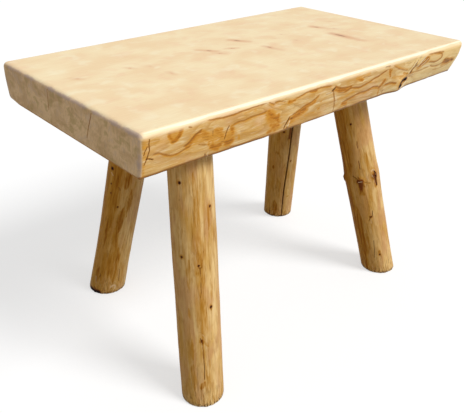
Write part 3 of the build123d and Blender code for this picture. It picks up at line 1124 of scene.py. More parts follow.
# %% The slab's wood
def slab_wood():
    """Cream on the top, honey on the live sides, and duller on the sawn ends."""
    finish = Finish("planed slab")
    place = finish.painted("grain", "Vector")
    split = finish.node("ShaderNodeSeparateXYZ", {}, {0: place})
    along, across, depth = (Signal(finish, split.socket.node.outputs[axis]) for axis in "XYZ")
    marks = ("side", "end", "wear_and_highlight", "dark", "rose", "pale")
    side, end, wear_and_highlight, dark, rose, pale = (finish.painted(name) for name in marks)
    end = end.smooth(0.2, 0.8)

    slow = finish.noise(place, (230, 110, 60), detail=1.5)
    quick = finish.noise(place, (60, 26, 17), detail=2.0)
    from_heart = (across * across + depth * depth) ** 0.5
    rings = late_wood((from_heart + slow * 70 + quick * 9) / ring_wide)
    bands = late_wood((from_heart * 0.4 + slow * 150 + quick * 16) / band_wide, 0.3)
    fibres = finish.noise(place, (55, 2.6, 2.2), detail=4.0, roughness=0.62).smooth(0.25, 0.75)

    # The top is creamy, with rosy and milky clouds, and brown at its knots.
    clouds = finish.noise(place, (110, 70, 60), detail=1.5)
    rosy = finish.noise(place, (52, 44, 40), detail=2.0, twist=0.5)
    milky = finish.noise(place, (38, 34, 40), detail=2.0, twist=0.4)
    top = finish.coats(
        linear("#FAE7BE"),
        (clouds.smooth(0.34, 0.66), "#F5DAAF"),
        (rosy.smooth(0.48, 0.74) * 0.42, "#F3CCA6"),
        (milky.smooth(0.50, 0.76) * 0.5, "#FDF3D2"),
        (rings * 0.05 + fibres * 0.05, "#DDB078"),
        (rose.smooth(0.05, 0.6) * 0.8, "#E2AE86"),
        ((rose + (fibres - 0.5) * 0.25).smooth(0.45, 0.9) * 0.85, "#8F6152"),
    )

    # The live sides are honey coloured to the left and paler to the right, and amber in patches.
    # Part of the paleness to the right is painted light, where the sides lean in further and meet
    # less of the lamp.
    blotch = finish.noise(place, (64, 40, 13), detail=3.0, twist=0.6)
    streak = finish.noise(place, (24, 9, 3.0), detail=4.0, roughness=0.62, twist=0.4)
    grain = finish.noise(place, (9, 5, 1.3), detail=3.0, roughness=0.6)
    amber = finish.painted("amber") * (1.0 + (streak - 0.5) * 2.0 + (grain - 0.5) * 1.1)
    live = finish.coats(
        linear("#F0D6A0"),
        (blotch.smooth(0.34, 0.66), "#DEB26A"),
        (((along * -1.0) / (2 * half_length) + 0.5) * 0.55, "#DDA243"),
        # paler to the right: paler wood, and painted light where the side leans away from the lamp
        (along.smooth(40, 400) * 0.4, "#FBE2A8"),
        (rosy.smooth(0.5, 0.7) * 0.4, "#EEC093"),
        (streak.smooth(0.5, 0.72) * 0.6, "#CB9238"),
        (streak.smooth(0.48, 0.3) * 0.6, "#FAE6B8"),
        (bands * 0.5, "#C08530"),
        (grain.smooth(0.55, 0.75) * 0.3, "#9C6A2C"),
        # painted light: a further lift to the right, where the sides lean in most
        (along.smooth(120, 400) * 0.58, "#FFDC92"),
        (amber.smooth(0.06, 0.55) * 0.9, "#DA9A34"),
        (amber.smooth(0.4, 1.0), "#C07610"),
        (amber.smooth(0.9, 1.3) * 0.8, "#8C5E1A"),
    )

    # The sawn ends are duller, with olive patches from damp and upright marks from the saw.
    damp = finish.noise(place, (70, 46, 26), detail=3.0, twist=0.8)
    olive = finish.noise(place, (60, 24, 17), detail=3.0, twist=0.5)
    upright = finish.noise(place, (40, 2.6, 34), detail=3.0, roughness=0.6)
    sawn = finish.coats(
        linear("#EBC695"),
        (damp.smooth(0.36, 0.64), "#D3AD7D"),
        (olive.smooth(0.5, 0.68) * 0.6, "#B79A60"),
        (olive.smooth(0.46, 0.32) * 0.5, "#D2B496"),
        (upright.smooth(0.5, 0.72) * 0.24, "#94733F"),
        (rings * 0.10, "#8A6A44"),
    )

    mottle = finish.noise(place, (12, 7, 5), detail=3.0)
    grey = finish.painted("grey") * (0.55 + mottle * 0.9)
    brown = finish.painted("brown") * (0.6 + grain * 0.8)
    colour = finish.coats(
        finish.mix(end, finish.mix(side, top, live), sawn),
        (grey.smooth(0.25, 0.85) * 0.8, "#BCA599"),
        (fibres * 0.07, "#B98B55"),
        (brown.smooth(0.2, 0.7) * 0.85, "#A9691C"),
        # brown also carries the painted shade along the lower edges, strong enough to reach this darkest
        # coat
        (brown.smooth(0.6, 1.2) * 0.6, "#6A4A14"),
        (pale.smooth(0.3, 0.9) * 0.8, "#FBE7C0"),
        # the pale band along the top's long rims: wear, and a painted highlight where the rim faces the
        # lamp
        (wear_and_highlight.smooth(0.3, 0.8) * 0.92, "#FFF1D6"),
        # dark: dark knots and specks, and painted shade inside the cracks and the torn hole
        (dark.smooth(0.12, 0.4) * 0.8, "#6E4422"),
        (dark.smooth(0.35, 0.65), "#22130A"),
    )

    saw = finish.noise(place, (4, 260, 2.2), detail=2.0) * end
    height = fibres * 0.3 + (bands + streak + grain * 0.6) * side * 0.7 + rings * 0.15 + saw * 0.9
    height = height - brown * 0.12 - dark * 0.5
    finish.shadeable(Base_Color=colour, Roughness=0.42 + fibres * 0.12 + end * 0.2 + dark * 0.2)
    finish.shadeable(Specular_IOR_Level=0.18)
    finish.relief(height, 0.4, 0.0009)
    return finish.material


# %% Dress the slab
crisp_from = 38  # degrees between two faces, above which their edge stays crisp


def dress(mesh_object, material, node):
    """Smooth shading with crisp cuts, its material, and its place in the frame."""
    mesh_object.data.materials.clear()
    mesh_object.data.materials.append(material)
    mesh_object.data.shade_smooth()
    mesh_object.data.set_sharp_from_angle(angle=math.radians(crisp_from))
    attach(mesh_object, "root")
    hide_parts(node)


dress(slab, slab_wood(), "slab_top")
print("slab dressed with", slab.data.materials[0].name)

# %% [markdown]
# ## The poles' shape
# A peeled pole is round, but never quite: the drawknife leaves long flats, the girth changes a
# little from end to end, and a whorl of branches makes it swell.  Each pole is a stack of level
# rings between the slab and the floor.  Every ring's points keep their true distance from the
# pole's own axis, so the stick stays round although both ends are cut at a slant.  The rings
# carry on over the shoulder and up the tenon, and across the foot, whose sawn rim has splintered.

# %% Girth, swellings and flats
usual_radius = 46.0  # half of a pole's usual girth, to turn bearings into millimetres
pole_girths = {  # pairs of a share of the way down and the pole's width there
    "front_left": ((0, 88.2), (0.22, 88.6), (0.38, 91), (0.52, 90.2), (0.76, 91.8), (1, 90.2)),
    "back_left": ((0, 91.5), (0.38, 91.2), (0.5, 89.8), (0.66, 88.4), (0.82, 89.2), (0.93, 92), (1, 92.4)),
    "back_right": ((0, 96.5), (1, 88.2)),
    "front_right": (
        (0, 85.5), (0.36, 85.6), (0.43, 87.5), (0.475, 91.6), (0.505, 91.6), (0.55, 90), (0.62, 88.4),
        (1, 86.6),
    ),
}
pole_stubs = {  # what is left of a cut branch: down, bearing, how far it spreads, how proud it is
    "front_right": ((276, -146, 10, 3.4), (269, -94, 9, 3.6), (272, 150, 9, 4.2), (274, 40, 10, 3.2)),
}
pole_bows = {"back_left": (2.0, -40)}  # how far it bends at its middle, and towards which bearing
ring_points = 128
foot_round, shoulder_round, tenon_bevel = 2.0, 3.0, 2.5


def pole_radius(pole, turn, down):
    """Distance from the axis at each bearing (radians) and distance below the seat."""
    share, across = rounded_line(pole_girths[pole.name], 3).T
    radius = np.interp(down / pole.length, share, across) / 2
    bow, bow_bearing = pole_bows.get(pole.name, (0, 0))
    bend = np.sin(np.pi * np.clip(down / pole.length, 0, 1))
    radius = radius + bow * bend * np.cos(turn - math.radians(bow_bearing))
    around = np.stack([np.cos(turn) * usual_radius, np.sin(turn) * usual_radius, down], 1)
    seed = 40 + 3 * pole.number
    flats = 0.65 * wander(around, (22, 22, 150), seed) + 0.35 * wander(around, (10, 10, 48), seed + 1)
    flats += 0.16 * wander(around, (5, 5, 17), seed + 2)
    for stub_down, bearing, reach, height in pole_stubs.get(pole.name, ()):
        off = (turn - math.radians(bearing) + np.pi) % (2 * np.pi) - np.pi
        away = np.hypot(off * usual_radius, down - stub_down)
        broken = 1 + 0.35 * wander(around, (3.5, 3.5, 3.5), seed + 3)
        stub, pit = np.exp(-((away / reach) ** 3)), np.exp(-((away / 4) ** 2))
        radius = radius + height * (stub * broken - 0.5 * pit)
    return radius + flats - 0.4


# %% Stack the rings
def level_ring(pole, turn, height, shrink=0.0, to=None):
    """One ring of a pole at a level height in metres, drawn in by `shrink` or to a set radius."""
    down = np.full(len(turn), (pole.seat[2] - height) / pole.z[2] / MM)
    for _ in range(3):
        radius = pole_radius(pole, turn, down) - shrink if to is None else np.full(len(turn), to)
        own = np.stack([radius * np.cos(turn), radius * np.sin(turn)], 1)
        rise = own[:, 0] * pole.x[2] + own[:, 1] * pole.y[2]
        down = ((pole.seat[2] - height) / MM + rise) / pole.z[2]
    return pole.place(np.column_stack([own, -down]))


def square_ring(pole, turn, radius, up):
    """One ring square to the pole's axis, `up` above its seat."""
    own = np.stack([radius * np.cos(turn), radius * np.sin(turn), np.full(len(turn), up)], 1)
    return pole.place(own)


def round_steps(size, steps=4):
    """(how far in, how far from the end) for a rounded rim, from the end outwards."""
    angles = np.linspace(0, np.pi / 2, steps + 1)
    return [(size * (1 - math.sin(a)), size * (1 - math.cos(a))) for a in angles]


def foot_chips(pole, turn):
    """How far splinters have broken out of the foot's sawn rim, at each bearing."""
    around = np.stack([np.cos(turn), np.sin(turn), 0 * turn], 1) * usual_radius
    return 1.7 * np.maximum(wander(around, (5, 5, 5), 80 + pole.number) + 0.15, 0)


def pole_rings(pole):
    """All rings from the middle of the foot to the middle of the tenon's end."""
    turn = np.linspace(0, 2 * np.pi, ring_points, endpoint=False)
    chips = foot_chips(pole, turn)
    rings = [level_ring(pole, turn, 0.0, to=radius) for radius in (6, 16, 26, 34)]
    for inward, up in round_steps(foot_round):
        rings.append(level_ring(pole, turn, up * MM, shrink=inward + chips * (1 - up / foot_round / 1.5)))
    body = np.linspace(foot_round * MM, underside - shoulder_round * MM, round(underside / MM / 2.5))
    rings += [level_ring(pole, turn, height) for height in body[1:-1]]
    rings += [
        level_ring(pole, turn, underside - from_end * MM, shrink=inward)
        for inward, from_end in reversed(round_steps(shoulder_round))
    ]
    tenon = tenon_across / 2
    rings += [level_ring(pole, turn, underside, to=radius) for radius in (36, tenon)]
    rings += [square_ring(pole, turn, tenon, up) for up in (13, 22, 32, tenon_long - tenon_bevel)]
    rings += [square_ring(pole, turn, tenon - tenon_bevel, tenon_long)]
    rings += [square_ring(pole, turn, radius, tenon_long) for radius in (15, 6)]
    return rings


def stacked(rings):
    """Points and faces of a closed stack of rings."""
    count = len(rings[0])
    points = np.concatenate(rings)
    here = np.arange(count)
    there = (here + 1) % count
    faces = []
    for i in range(len(rings) - 1):
        low, high = i * count, (i + 1) * count
        faces += list(map(tuple, np.stack([low + here, low + there, high + there, high + here], 1)))
    faces.append(tuple(here[::-1]))
    faces.append(tuple(here + (len(rings) - 1) * count))
    return points, faces


# %% [markdown]
# ## The poles' cracks and the tenon's kerf
# A pole dries from the outside, and the heart stays wide, so it opens in long thin checks that
# follow the grain.  The back right leg has one that runs nearly its whole length, and the others
# have short ones near the foot.  The kerf in the tenon is the saw cut that the fox wedge opens.

# %% The poles' checks
pole_checks = {  # (down, bearing) points, width of the mouth, depth
    "front_left": (
        ([(392, -124), (398, -122), (404, -119)], 1.8, 3),
        ([(443, -118), (466, -118), (490, -119)], 1.0, 4),
    ),
    "back_left": (
        ([(473, -93), (490, -92), (512, -90)], 1.0, 4),
        ([(120, 60), (260, 66), (390, 63)], 1.2, 8),
    ),
    "back_right": (
        (
            [(46, -97), (120, -101), (205, -108), (264, -109.5), (316, -111), (437, -118), (488, -118),
             (570, -117)],
            5.6, 18,
        ),
        ([(517, -171), (527, -171), (537, -170)], 1.3, 4),
    ),
    "front_right": (
        ([(367, -123), (376, -124.5), (385, -128)], 1.5, 4),
        ([(457, -136), (485, -139), (511, -144)], 1.0, 4),
        ([(290, 30), (350, 33), (420, 31)], 1.0, 6),
    ),
}
wedge_long, wedge_thick, wedge_thin, kerf_play = 32.0, 5.0, 1.6, 0.15
print(sum(map(len, pole_checks.values())), "checks in the poles")


# %% Cut the poles
def check_line(points):
    """The line of a check as (distance down, bearing in degrees), a little jagged."""
    line = rounded_line(points, 1) * (1, 0.8)
    return jagged(line, int(points[0][0]), step=6.0, throw=0.25) / (1, 0.8)


def check_blade(pole, points, mouth, depth):
    """A blade along a check, from points of (distance down, bearing in degrees)."""
    down, bearing = check_line(points).T
    turn = np.radians(bearing)
    radius = pole_radius(pole, turn, down)
    surface = pole.place(np.stack([radius * np.cos(turn), radius * np.sin(turn), -down], 1)) / MM
    centre = pole.place(np.stack([0 * down, 0 * down, -down], 1)) / MM
    outward = surface - centre
    outward /= np.linalg.norm(outward, axis=1)[:, None]
    points, faces = blade(surface, outward, mouth, depth)
    return points * MM, faces


def kerf(pole):
    """The tapered saw cut down the tenon, wide enough for its wedge."""
    top = tenon_long + mortise_gap - kerf_play
    foot = top - wedge_long - kerf_play
    past = 12  # the cut runs on past the tenon's end
    wide = wedge_thick / 2 + (wedge_thick - wedge_thin) / wedge_long / 2 * past + kerf_play
    narrow = wedge_thin / 2 + kerf_play
    outline = [(-narrow, foot), (narrow, foot), (wide, top + past), (-wide, top + past)]
    own = [(x, y, z) for y in (-tenon_across, tenon_across) for x, z in outline]
    faces = [(0, 1, 2, 3), (7, 6, 5, 4), (0, 4, 5, 1), (1, 5, 6, 2), (2, 6, 7, 3), (3, 7, 4, 0)]
    return pole.place(own), faces


pole_objects, pole_blades = {}, {}
for name, pole in poles.items():
    pole_objects[name] = wood_mesh(f"pole_{name}", *stacked(pole_rings(pole)))
    pole_blades[name] = [check_blade(pole, *check) for check in pole_checks[name]]
    take_away(pole_objects[name], [*pole_blades[name], kerf(pole)])

# %% [markdown]
# ## Painting the poles' marks
# Pin knots are the ends of thin twigs: a near black dot, a thin brown ring, and a short dark
# tail along the grain.  The whorl's knots are larger, and their bark stain has run downwards.
# Marks are placed by their distance below the slab and their bearing round the pole.

# %% Knots
pin_knots = {  # down, bearing, radius, length of the tail
    "front_left": (
        (66, -153.3, 2.5, 14), (118, -76.5, 2.0, 10), (215, -160, 1.9, 5), (232, -118, 1.8, 6),
        (327, -90, 2.6, 8),
        (140, 30, 2.2, 10), (300, 95, 2.3, 12), (410, 10, 2.0, 8),
    ),
    "back_left": (
        (184, -171.8, 3.6, 3), (224, -167, 1.8, 4), (249, -164, 1.6, 5), (280, -134, 1.9, 10),
        (280, 20, 2.2, 10), (180, 110, 2.2, 12), (400, 70, 2.4, 8),
    ),
    "back_right": ((218, -138.5, 2.3, 3), (325, -101, 2.0, 6), (240, 40, 2.3, 10), (380, 100, 2.2, 8)),
    "front_right": (
        (118, -145, 2.2, 5), (384, -131, 2.0, 5), (504, -122.6, 2.0, 8),
        (160, 20, 2.1, 8), (450, 80, 2.4, 10), (350, -30, 2.0, 8),
    ),
}
stub_knots = {  # down, bearing, half width, half height, darkness, length of the stain below
    "front_right": (
        (268, -94, 8.0, 10.0, 0.84, 30), (276, -146.5, 9.0, 7.0, 1.0, 36), (273, 149, 6.0, 7.0, 0.8, 12),
        (274, 40, 6.0, 6.0, 0.8, 18),
    ),
    "front_left": ((398, -121, 4.0, 3.4, 0.6, 8),),
}

# %% Amber patches on the poles, and painted shade down their far sides
pole_patches_and_shade = {  # points of (down, bearing), half width, strength
    "front_left": (
        # painted shade: a long band down the side away from the lamp
        ([(20, -200), (200, -204), (420, -202), (560, -200)], 9, 0.3),
        ([(40, -116), (240, -118), (420, -116), (540, -118)], 15, 0.42),
        ([(45, -118), (150, -120), (225, -124)], 9, 0.3),
        ([(104, -78), (135, -82), (165, -84)], 4.5, 0.55),
        ([(215, -143), (240, -143), (290, -146)], 5.5, 0.5),
        ([(200, -118), (222, -112), (240, -110)], 4.5, 0.65),
        ([(243, -122), (252, -120)], 4, 0.8),
        ([(250, -125), (300, -128), (380, -128)], 7, 0.36),
        ([(262, -88), (300, -84), (330, -86)], 7, 0.34),
        ([(322, -148), (352, -148)], 4, 0.42),
        ([(395, -123), (404, -112), (416, -102)], 4, 0.85),
        ([(395, -146), (445, -147)], 5, 0.45),
        ([(495, -119), (505, -126), (515, -131)], 5.5, 1.0),
        ([(450, -150), (520, -148)], 8, 0.45),
        ([(440, -104), (520, -106)], 6, 0.36),
    ),
    "back_left": (
        ([(150, -118), (230, -116)], 12, 0.7),
        ([(222, -98), (262, -99), (308, -101)], 5.5, 0.8),
        ([(276, -115), (312, -118), (356, -119)], 8, 0.9),
        ([(322, -160), (360, -158), (410, -160)], 5.5, 0.95),
        ([(400, -134), (450, -132), (505, -130)], 7, 0.75),
        ([(476, -166), (530, -166)], 8, 0.9),
        # painted shade: a long band down the side away from the lamp
        ([(40, -186), (240, -190), (500, -188)], 12, 0.6),
        # painted shade: a long band down the side turning away from the lamp
        ([(60, -150), (200, -152), (350, -149)], 16, 0.7),
        ([(330, -128), (380, -124), (440, -122)], 9, 0.65),
        ([(400, -110), (520, -112)], 12, 0.65),
        ([(420, -150), (520, -152)], 9, 0.6),
    ),
    "back_right": (
        # painted shade: a long band down the side away from the lamp
        ([(60, -186), (260, -190), (540, -188)], 12, 0.32),
        # painted shade: a long band down the side turning away from the lamp
        ([(40, -148), (180, -150), (320, -154), (520, -150)], 18, 0.22),
        ([(300, -84), (380, -84), (460, -84)], 6, 0.45),
        ([(480, -150), (545, -150)], 12, 0.8),
        ([(345, -169), (360, -170)], 5, 1.0),
        ([(290, -157), (302, -156)], 4, 0.85),
        ([(460, -96), (470, -96)], 5, 0.85),
    ),
    "front_right": (
        # painted shade: a long band down the side away from the lamp, and under the slab
        ([(-20, -172), (60, -174), (160, -176), (262, -176)], 18, 0.7),
        # painted shade: a long band down the side away from the lamp
        ([(20, -196), (160, -202), (300, -204), (440, -200), (560, -196)], 16, 0.85),
        ([(224, -169), (235, -169)], 3, 1.0),
        ([(200, -110), (262, -112)], 6, 0.4),
        ([(375, -165), (420, -166)], 6, 0.8),
        # painted shade: a long band down the side away from the lamp
        ([(350, -176), (440, -178), (560, -180)], 14, 0.85),
        ([(430, -160), (500, -163)], 9, 0.6),
        ([(490, -122), (505, -122)], 4, 0.8),
        ([(286, -137), (294, -134)], 3, 0.95),
    ),
}

# %% Rings and lines on the poles
pole_edges = {  # curls where the blade cut rings, as points of (down, bearing): reach, strength, side
    "back_left": (
        ([(526, -158), (520, -148), (528, -138), (537, -146), (532, -154)], 5, 0.5, 1),
        ([(526, -118), (517, -108), (519, -97), (530, -93), (538, -104), (536, -122)], 5, 0.55, 1),
        ([(544, -130), (548, -115), (542, -100), (548, -88)], 5, 0.5, 1),
        ([(246, -112), (258, -100), (266, -88)], 6, 0.6, 1),
        ([(492, -160), (499, -154), (508, -158)], 4, 0.8, 1),
    ),
    "front_left": (
        ([(296, -112), (326, -104), (356, -102)], 6, 0.5, 1),
        ([(380, -130), (376, -124), (382, -117), (396, -112), (410, -103)], 5, 0.5, -1),
        ([(194, -123), (214, -119), (232, -116), (240, -109)], 5, 0.6, 1),
        ([(200, -103), (222, -107), (242, -112)], 5, 0.55, -1),
    ),
    "front_right": (
        ([(258, -114), (282, -124), (298, -134)], 5, 0.6, 1),
        ([(378, -138), (384, -134), (392, -137), (398, -142)], 4, 0.8, 1),
        ([(258, -170), (264, -160), (272, -152)], 4, 0.9, 1),
        ([(278, -136), (283, -124), (286, -112)], 5, 0.7, 1),
    ),
}
pole_lines = {  # thin brown lines: points of (down, bearing), strength
    "front_left": (
        ([(70, -153), (101, -156)], 0.6),
        ([(98, -158), (126, -159)], 0.55),
        ([(236, -115), (262, -114), (300, -117)], 0.85),
        ([(300, -117), (352, -116)], 0.55),
        ([(404, -120), (425, -119), (443, -118)], 0.9),
        ([(425, -135), (470, -138), (530, -139)], 0.6),
        ([(430, -112), (470, -110), (500, -112)], 0.6),
        ([(515, -133), (545, -134)], 0.7),
    ),
    "back_left": (([(470, -128), (500, -130), (535, -129)], 0.6), ([(300, -140), (340, -141)], 0.5)),
    "back_right": (([(400, -140), (470, -142)], 0.5), ([(240, -124), (300, -126)], 0.5)),
    "front_right": (
        ([(165, -136), (185, -137)], 0.85),
        ([(218, -141), (242, -140)], 0.9),
        ([(185, -137), (218, -140)], 0.4),
        ([(495, -123), (540, -124)], 0.7),
        ([(330, -118), (366, -122)], 0.5),
    ),
}

# %% Dark and torn places on the poles
pole_specks = {  # dark marks along (down, bearing) points: radius, darkness
    "back_left": (
        ([(562, -188), (560, -168), (556, -152)], 5.5, 1.0),
        ([(548, -172), (552, -160)], 2.4, 0.45),
        ([(225, -139), (232, -134)], 1.6, 0.45),
    ),
    "back_right": (
        ([(24, -103.5), (90, -106.5), (150, -110), (240, -117)], 3.7, 0.47),
        ([(530, -170), (545, -170)], 1.4, 0.6),
    ),
    "front_right": (
        ([(166, -136), (184, -137)], 1.1, 0.55),
        ([(219, -141), (242, -140)], 1.1, 0.55),
        ([(222, -128), (236, -128)], 0.9, 0.4),
        ([(262, -152), (268, -147)], 1.4, 0.5),
        ([(256, -93), (268, -93), (284, -91), (300, -90)], 1.7, 0.85),
        ([(272, -101), (266, -96), (262, -90)], 1.5, 0.6),
    ),
    "front_left": (
        ([(236, -115), (250, -114)], 1.2, 0.4),
        ([(405, -120), (440, -118)], 0.9, 0.45),
    ),
}
pole_pales = {  # torn, paler wood: points of (down, bearing), half width, strength
    "back_left": (
        ([(531, -116), (524, -107), (528, -97), (536, -101)], 2.6, 0.95),
        ([(512, -172), (530, -168)], 4.0, 0.6),
        ([(536, -146), (541, -132)], 2.2, 0.55),
        ([(196, -173), (200, -166)], 2.6, 0.8),
        ([(470, -96), (500, -94)], 1.8, 0.6),
    ),
    "front_right": (
        ([(256, -104), (252, -98), (256, -90)], 2.2, 0.8),
        ([(262, -106), (274, -102)], 1.2, 0.85),
        ([(284, -98), (294, -96)], 1.3, 0.75),
        ([(270, -91), (264, -88)], 1.1, 0.8),
        ([(277, -151), (277, -142)], 1.4, 1.0),
        ([(392, -133), (404, -134)], 2.6, 0.6),
        ([(262, -124), (276, -120), (284, -112)], 1.8, 0.6),
        ([(286, -130), (300, -126)], 2.0, 0.45),
    ),
    "front_left": (
        ([(384, -118), (394, -110), (408, -106)], 2.2, 0.6),
        ([(250, -112), (300, -107), (380, -108)], 4.0, 0.38),
        ([(334, -84), (352, -86)], 5.0, 0.5),
        ([(540, -84), (552, -80)], 4.0, 0.5),
    ),
    "back_right": (([(542, -92), (552, -100)], 4.0, 0.5),),
}
lamp_bearing = -60  # painted shade: each pole is paler on the side towards the lamp, and darker amber away from it
soil_reach = 70  # how far up from the floor a pole is soiled
pole_tones = {"front_left": 0.36, "back_left": 1.0, "back_right": 0.8, "front_right": 0.72}
for title, knots in (("pin knots:", pin_knots), ("branch stubs:", stub_knots)):
    print(title, sum(map(len, knots.values())))


# %% Paint one pole
def unrolled(down, bearing, middle):
    """Flat places on a pole's skin, in millimetres: round from a middle bearing, and down."""
    off = (np.asarray(bearing) - middle + 180) % 360 - 180
    return np.stack([np.radians(off) * usual_radius, np.broadcast_to(down, np.shape(off))], -1)


def own_line(points, middle):
    """A line of (down, bearing) points on the same flat."""
    down, bearing = np.array(points, float).T
    return unrolled(down, bearing, middle)


def from_tail(flat, tail):
    """How far flat places are from a straight line that hangs down from the origin."""
    return np.hypot(flat[:, 0], np.maximum(np.abs(flat[:, 1] - tail / 2) - tail / 2, 0))


def paint_pole(pole, stick):
    """Lays all of a pole's marks, and stores them with its grain and its foot."""
    own = pole.own(places_of(stick))
    down, bearing = -own[:, 2], np.degrees(np.arctan2(own[:, 1], own[:, 0]))
    seed = 60 + 7 * pole.number
    pole_marks = Marks(len(own), "amber", "brown", "dark", "pale")
    lay = pole_marks.lay

    def skin(middle, shake):
        """All of its points, unrolled and shaken a little."""
        return unsteady(unrolled(down, bearing, middle), seed, shake)

    def marks(kind):
        """Its own marks of one kind, each with the bearing that it is unrolled from."""
        for points, *rest in kind.get(pole.name, ()):
            yield points[0][1], own_line(points, points[0][1]), rest

    for place_down, place_bearing, radius, tail in pin_knots[pole.name]:
        flat = skin(place_bearing, 0.3) - (0, place_down)
        away = np.hypot(*flat.T)
        lay("dark", slope(away, 2 * radius))
        lay("amber", 0.75 * slope(away, 4.5 * radius))
        lay("brown", 0.75 * slope(from_tail(flat, tail), 2.4))
    for place_down, place_bearing, wide, tall, strength, stain in stub_knots.get(pole.name, ()):
        flat = skin(place_bearing, 2.4) - (0, place_down)
        away = np.hypot(flat[:, 0] / wide, flat[:, 1] / tall)
        lay("dark", strength * (0.75 + 0.25 * np.cos(away * 9)) * slope(away, 1.5))
        lay("pale", 0.55 * slope(np.abs(away - 1.2), 0.4) * (flat[:, 1] < 0.3 * tall))
        lay("amber", slope(away, 2.6))
        lay("amber", 1.2 * slope(from_tail(flat, stain), 1.3 * wide))
        below = flat[:, 1] - 0.7 * tall
        bark = np.hypot(flat[:, 0] / wide, below / (0.85 * stain))
        lay("dark", 1.1 * strength * np.clip(1 - bark, 0, 0.36) * (below > 0))
    for middle, line, (wide, strength) in marks(pole_patches_and_shade):
        away, _, along = from_line(skin(middle, 2.2), rounded_line(line))
        drawn_out = 0.03 + 0.97 * np.sin(np.pi * along) ** 0.8
        lay("amber", strength * np.clip(1.4 - 0.9 * away / wide / drawn_out, 0, 1))
    for middle, line, (radius, strength) in marks(pole_specks):
        lay("dark", strength * slope(from_line(skin(middle, 0.5), line)[0], 2 * radius))
    for middle, line, (wide, strength) in marks(pole_pales):
        lay("pale", patch(skin(middle, 1.2), line, wide, strength))
    for middle, line, (fade, strength, fill_side) in marks(pole_edges):
        edge, fill = ring_edge(skin(middle, 1.0), line, fade, strength, fill_side)
        lay("amber", fill)
        lay("brown", edge)
    for middle, line, (strength,) in marks(pole_lines):
        away, _, _ = from_line(skin(middle, 0.8), rounded_line(line))
        lay("brown", strength * slope(away, 2.2))
    for points, mouth, _ in pole_checks[pole.name]:
        middle = points[0][1]
        away, _, _ = from_line(skin(middle, 0.0), own_line(check_line(points), middle))
        lay("brown", 0.85 * slope(away, mouth / 2 + 2.2))
    depths = [check[-1] for check in pole_checks[pole.name]]
    # painted shade, darkest at the bottom of each check
    lay("dark", crack_shade(places_of(stick), pole_blades[pole.name], depths))

    inside = np.hypot(own[:, 0], own[:, 1])
    level = places_of(stick)[:, 2] / MM
    # 1 on the side of the pole that faces the lamp, 0 on its far side
    lamp_facing = 0.5 + 0.5 * np.cos(np.radians(bearing - lamp_bearing))
    pole_values = {
        "grain": own + (0, 0, 700.0 * pole.number),
        **pole_marks.values,
        "end": np.maximum(ease(level, 1.5, 0.3), ease(inside, 34, 26) * (level < 10)),
        "soil": slope(level, soil_reach),
        # the pole's own amber colour, darkened as painted shade on the side away from the lamp
        "tone_and_shade": np.minimum(pole_tones[pole.name] * (1 - 0.95 * lamp_facing**2), 0.78),
    }
    for name, values in pole_values.items():
        paint(stick, name, values)


for name, stick in pole_objects.items():
    paint_pole(poles[name], stick)
print("poles painted")

# %% [markdown]
# ## The poles' finish
# Just under the bark a pole is honey coloured, darker than sawn wood.  The drawknife goes
# through it in places, so paler streaks lie beside amber ones, all drawn out along the pole.
# The same ring field as on the slab's live edges makes them, stretched along the pole's axis.

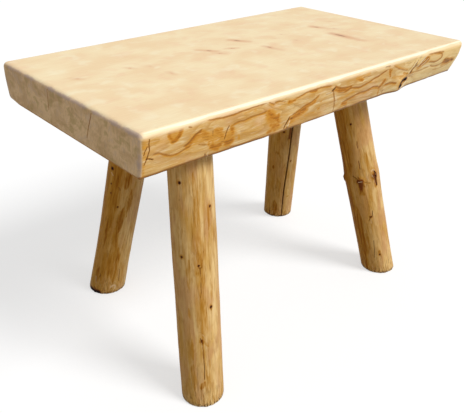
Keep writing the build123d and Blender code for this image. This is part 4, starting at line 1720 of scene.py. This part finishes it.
# %% Honey coloured poles
def pole_wood():
    """Honey coloured skin, and sawn rings under the foot."""
    finish = Finish("peeled pole")
    place = finish.painted("grain", "Vector")
    marks = ("tone_and_shade", "dark", "end", "soil", "pale")
    tone_and_shade, dark, end, soil, pale = (finish.painted(name) for name in marks)

    slow = finish.noise(place, (46, 46, 300), detail=1.5)
    quick = finish.noise(place, (15, 15, 120), detail=2.5, roughness=0.55)
    bands = late_wood(slow * 9 + quick * 2.2, 0.25)
    honey = finish.noise(place, (30, 30, 130), detail=3.0, roughness=0.6, twist=0.5)
    rosy = finish.noise(place, (26, 26, 90), detail=2.5, twist=0.6)
    mottle = finish.noise(place, (11, 11, 34), detail=3.0, roughness=0.6, twist=0.5)
    streaks = finish.noise(place, (6, 6, 76), detail=3.5, roughness=0.6, twist=0.2)
    needles = finish.noise(place, (2.4, 2.4, 30), detail=3.0, roughness=0.65)
    amber = finish.painted("amber") * (1.0 + (streaks - 0.5) * 2.8 + (needles - 0.5) * 1.4)
    skin = finish.coats(
        linear("#E3C186"),
        (honey.smooth(0.36, 0.66), "#C79A53"),
        (streaks.smooth(0.52, 0.72) * 0.6, "#A67222"),
        (streaks.smooth(0.46, 0.30) * 0.55, "#EACF97"),
        (bands * 0.35, "#A46D26"),
        (rosy.smooth(0.44, 0.62) * 0.66, "#C6966A"),
        # the pole's own amber colour, and painted shade that darkens the side away from the lamp
        (tone_and_shade * 0.92, "#BE8210"),
        (mottle.smooth(0.52, 0.68) * (0.25 + tone_and_shade * 0.3), "#9A6210"),
        (mottle.smooth(0.46, 0.32) * (0.3 - tone_and_shade * 0.24), "#E2BC72"),
        (amber.smooth(0.12, 0.6) * 0.75, "#B47A1C"),
        (amber.smooth(0.45, 1.1) * 0.9, "#945606"),
        (needles.smooth(0.53, 0.75) * 0.42, "#7A4E18"),
        (needles.smooth(0.46, 0.28) * (0.35 - tone_and_shade * 0.28), "#E9C47E"),
    )

    # The foot shows sawn rings, and above its rim the wood is soiled and splintered.
    flat_place = finish.stretched(place, (3.2, 3.2, 1e9))
    from_heart = finish.node("ShaderNodeVectorMath", {"operation": "LENGTH"}, {0: flat_place}, "Value")
    sawn = finish.mix(late_wood(from_heart) * 0.6, linear("#C9A66E"), linear("#8D6537"))
    flecks = finish.noise(place, (3.5, 3.5, 7), detail=3.0, roughness=0.6)
    splits = finish.noise(place, (2.2, 2.2, 17), detail=3.0, roughness=0.6)
    rim = (soil + (flecks - 0.5) * 0.16).smooth(0.86, 0.96)
    brown = finish.painted("brown") * (0.75 + needles * 0.5)
    colour = finish.coats(
        finish.mix(end, skin, sawn),
        (soil * splits.smooth(0.52, 0.66) * 0.75, "#6A4314"),
        (soil * splits.smooth(0.46, 0.34) * 0.5, "#E8C98E"),
        (rim * flecks.smooth(0.56, 0.40) * 0.5, "#D9BC8C"),
        (rim * flecks.smooth(0.42, 0.56) * 0.8, "#4A3014"),
        (brown.smooth(0.3, 0.75) * 0.8, "#6E4318"),
        # dark: knots, specks and bark stains, and painted shade inside the checks
        (dark.smooth(0.1, 0.42) * 0.85, "#6E3210"),
        (dark.smooth(0.44, 0.62), "#221006"),
        (pale.smooth(0.3, 0.9) * 0.75, "#DEBE94"),
    )

    height = needles * 0.6 + streaks * 0.6 + bands * 0.5 - dark * 1.0 - brown * 0.6
    height = height - rim * flecks * 1.2 - soil * splits * 0.6
    finish.shadeable(Base_Color=colour, Roughness=0.46 + needles * 0.14 + dark * 0.2)
    finish.shadeable(Specular_IOR_Level=0.06)
    finish.relief(height, 0.5, 0.001)
    return finish.material


pole_material = pole_wood()
for name, stick in pole_objects.items():
    dress(stick, pole_material, "leg_" + name)
print("poles dressed with", pole_material.name)

# %% [markdown]
# ## The fox wedges
# Each wedge is split from a denser, darker wood than the pole.  It sits deep in its joint and
# keeps the frame's own solid.  Its finish runs along the wedge, with narrow rings and open
# pores, and reads its place from the object itself.

# %% Dense hardwood for the wedges
def wedge_wood():
    """Brown hardwood, split along its grain."""
    finish = Finish("split wedge")
    place = finish.node("ShaderNodeTexCoord", {}, {}, "Object")
    rings = late_wood(finish.noise(place, (0.012, 0.02, 0.16), detail=2.0) * 14)
    pores = finish.noise(place, (0.0011, 0.0011, 0.02), detail=3.0).smooth(0.5, 0.7)
    colour = finish.coats(linear("#B98A58"), (rings * 0.6, "#8C5E34"), (pores * 0.4, "#5C3A1E"))
    finish.shadeable(Base_Color=colour, Roughness=0.5 + pores * 0.2)
    finish.relief(pores * -1.0 + rings * 0.3, 0.4, 0.0004)
    return finish.material


wedge_material = wedge_wood()
for name in poles:
    wedge = frame["nodes"]["fox_wedge_" + name]
    wedge.data.materials.clear()
    wedge.data.materials.append(wedge_material)
print("wedges dressed:", len(poles))
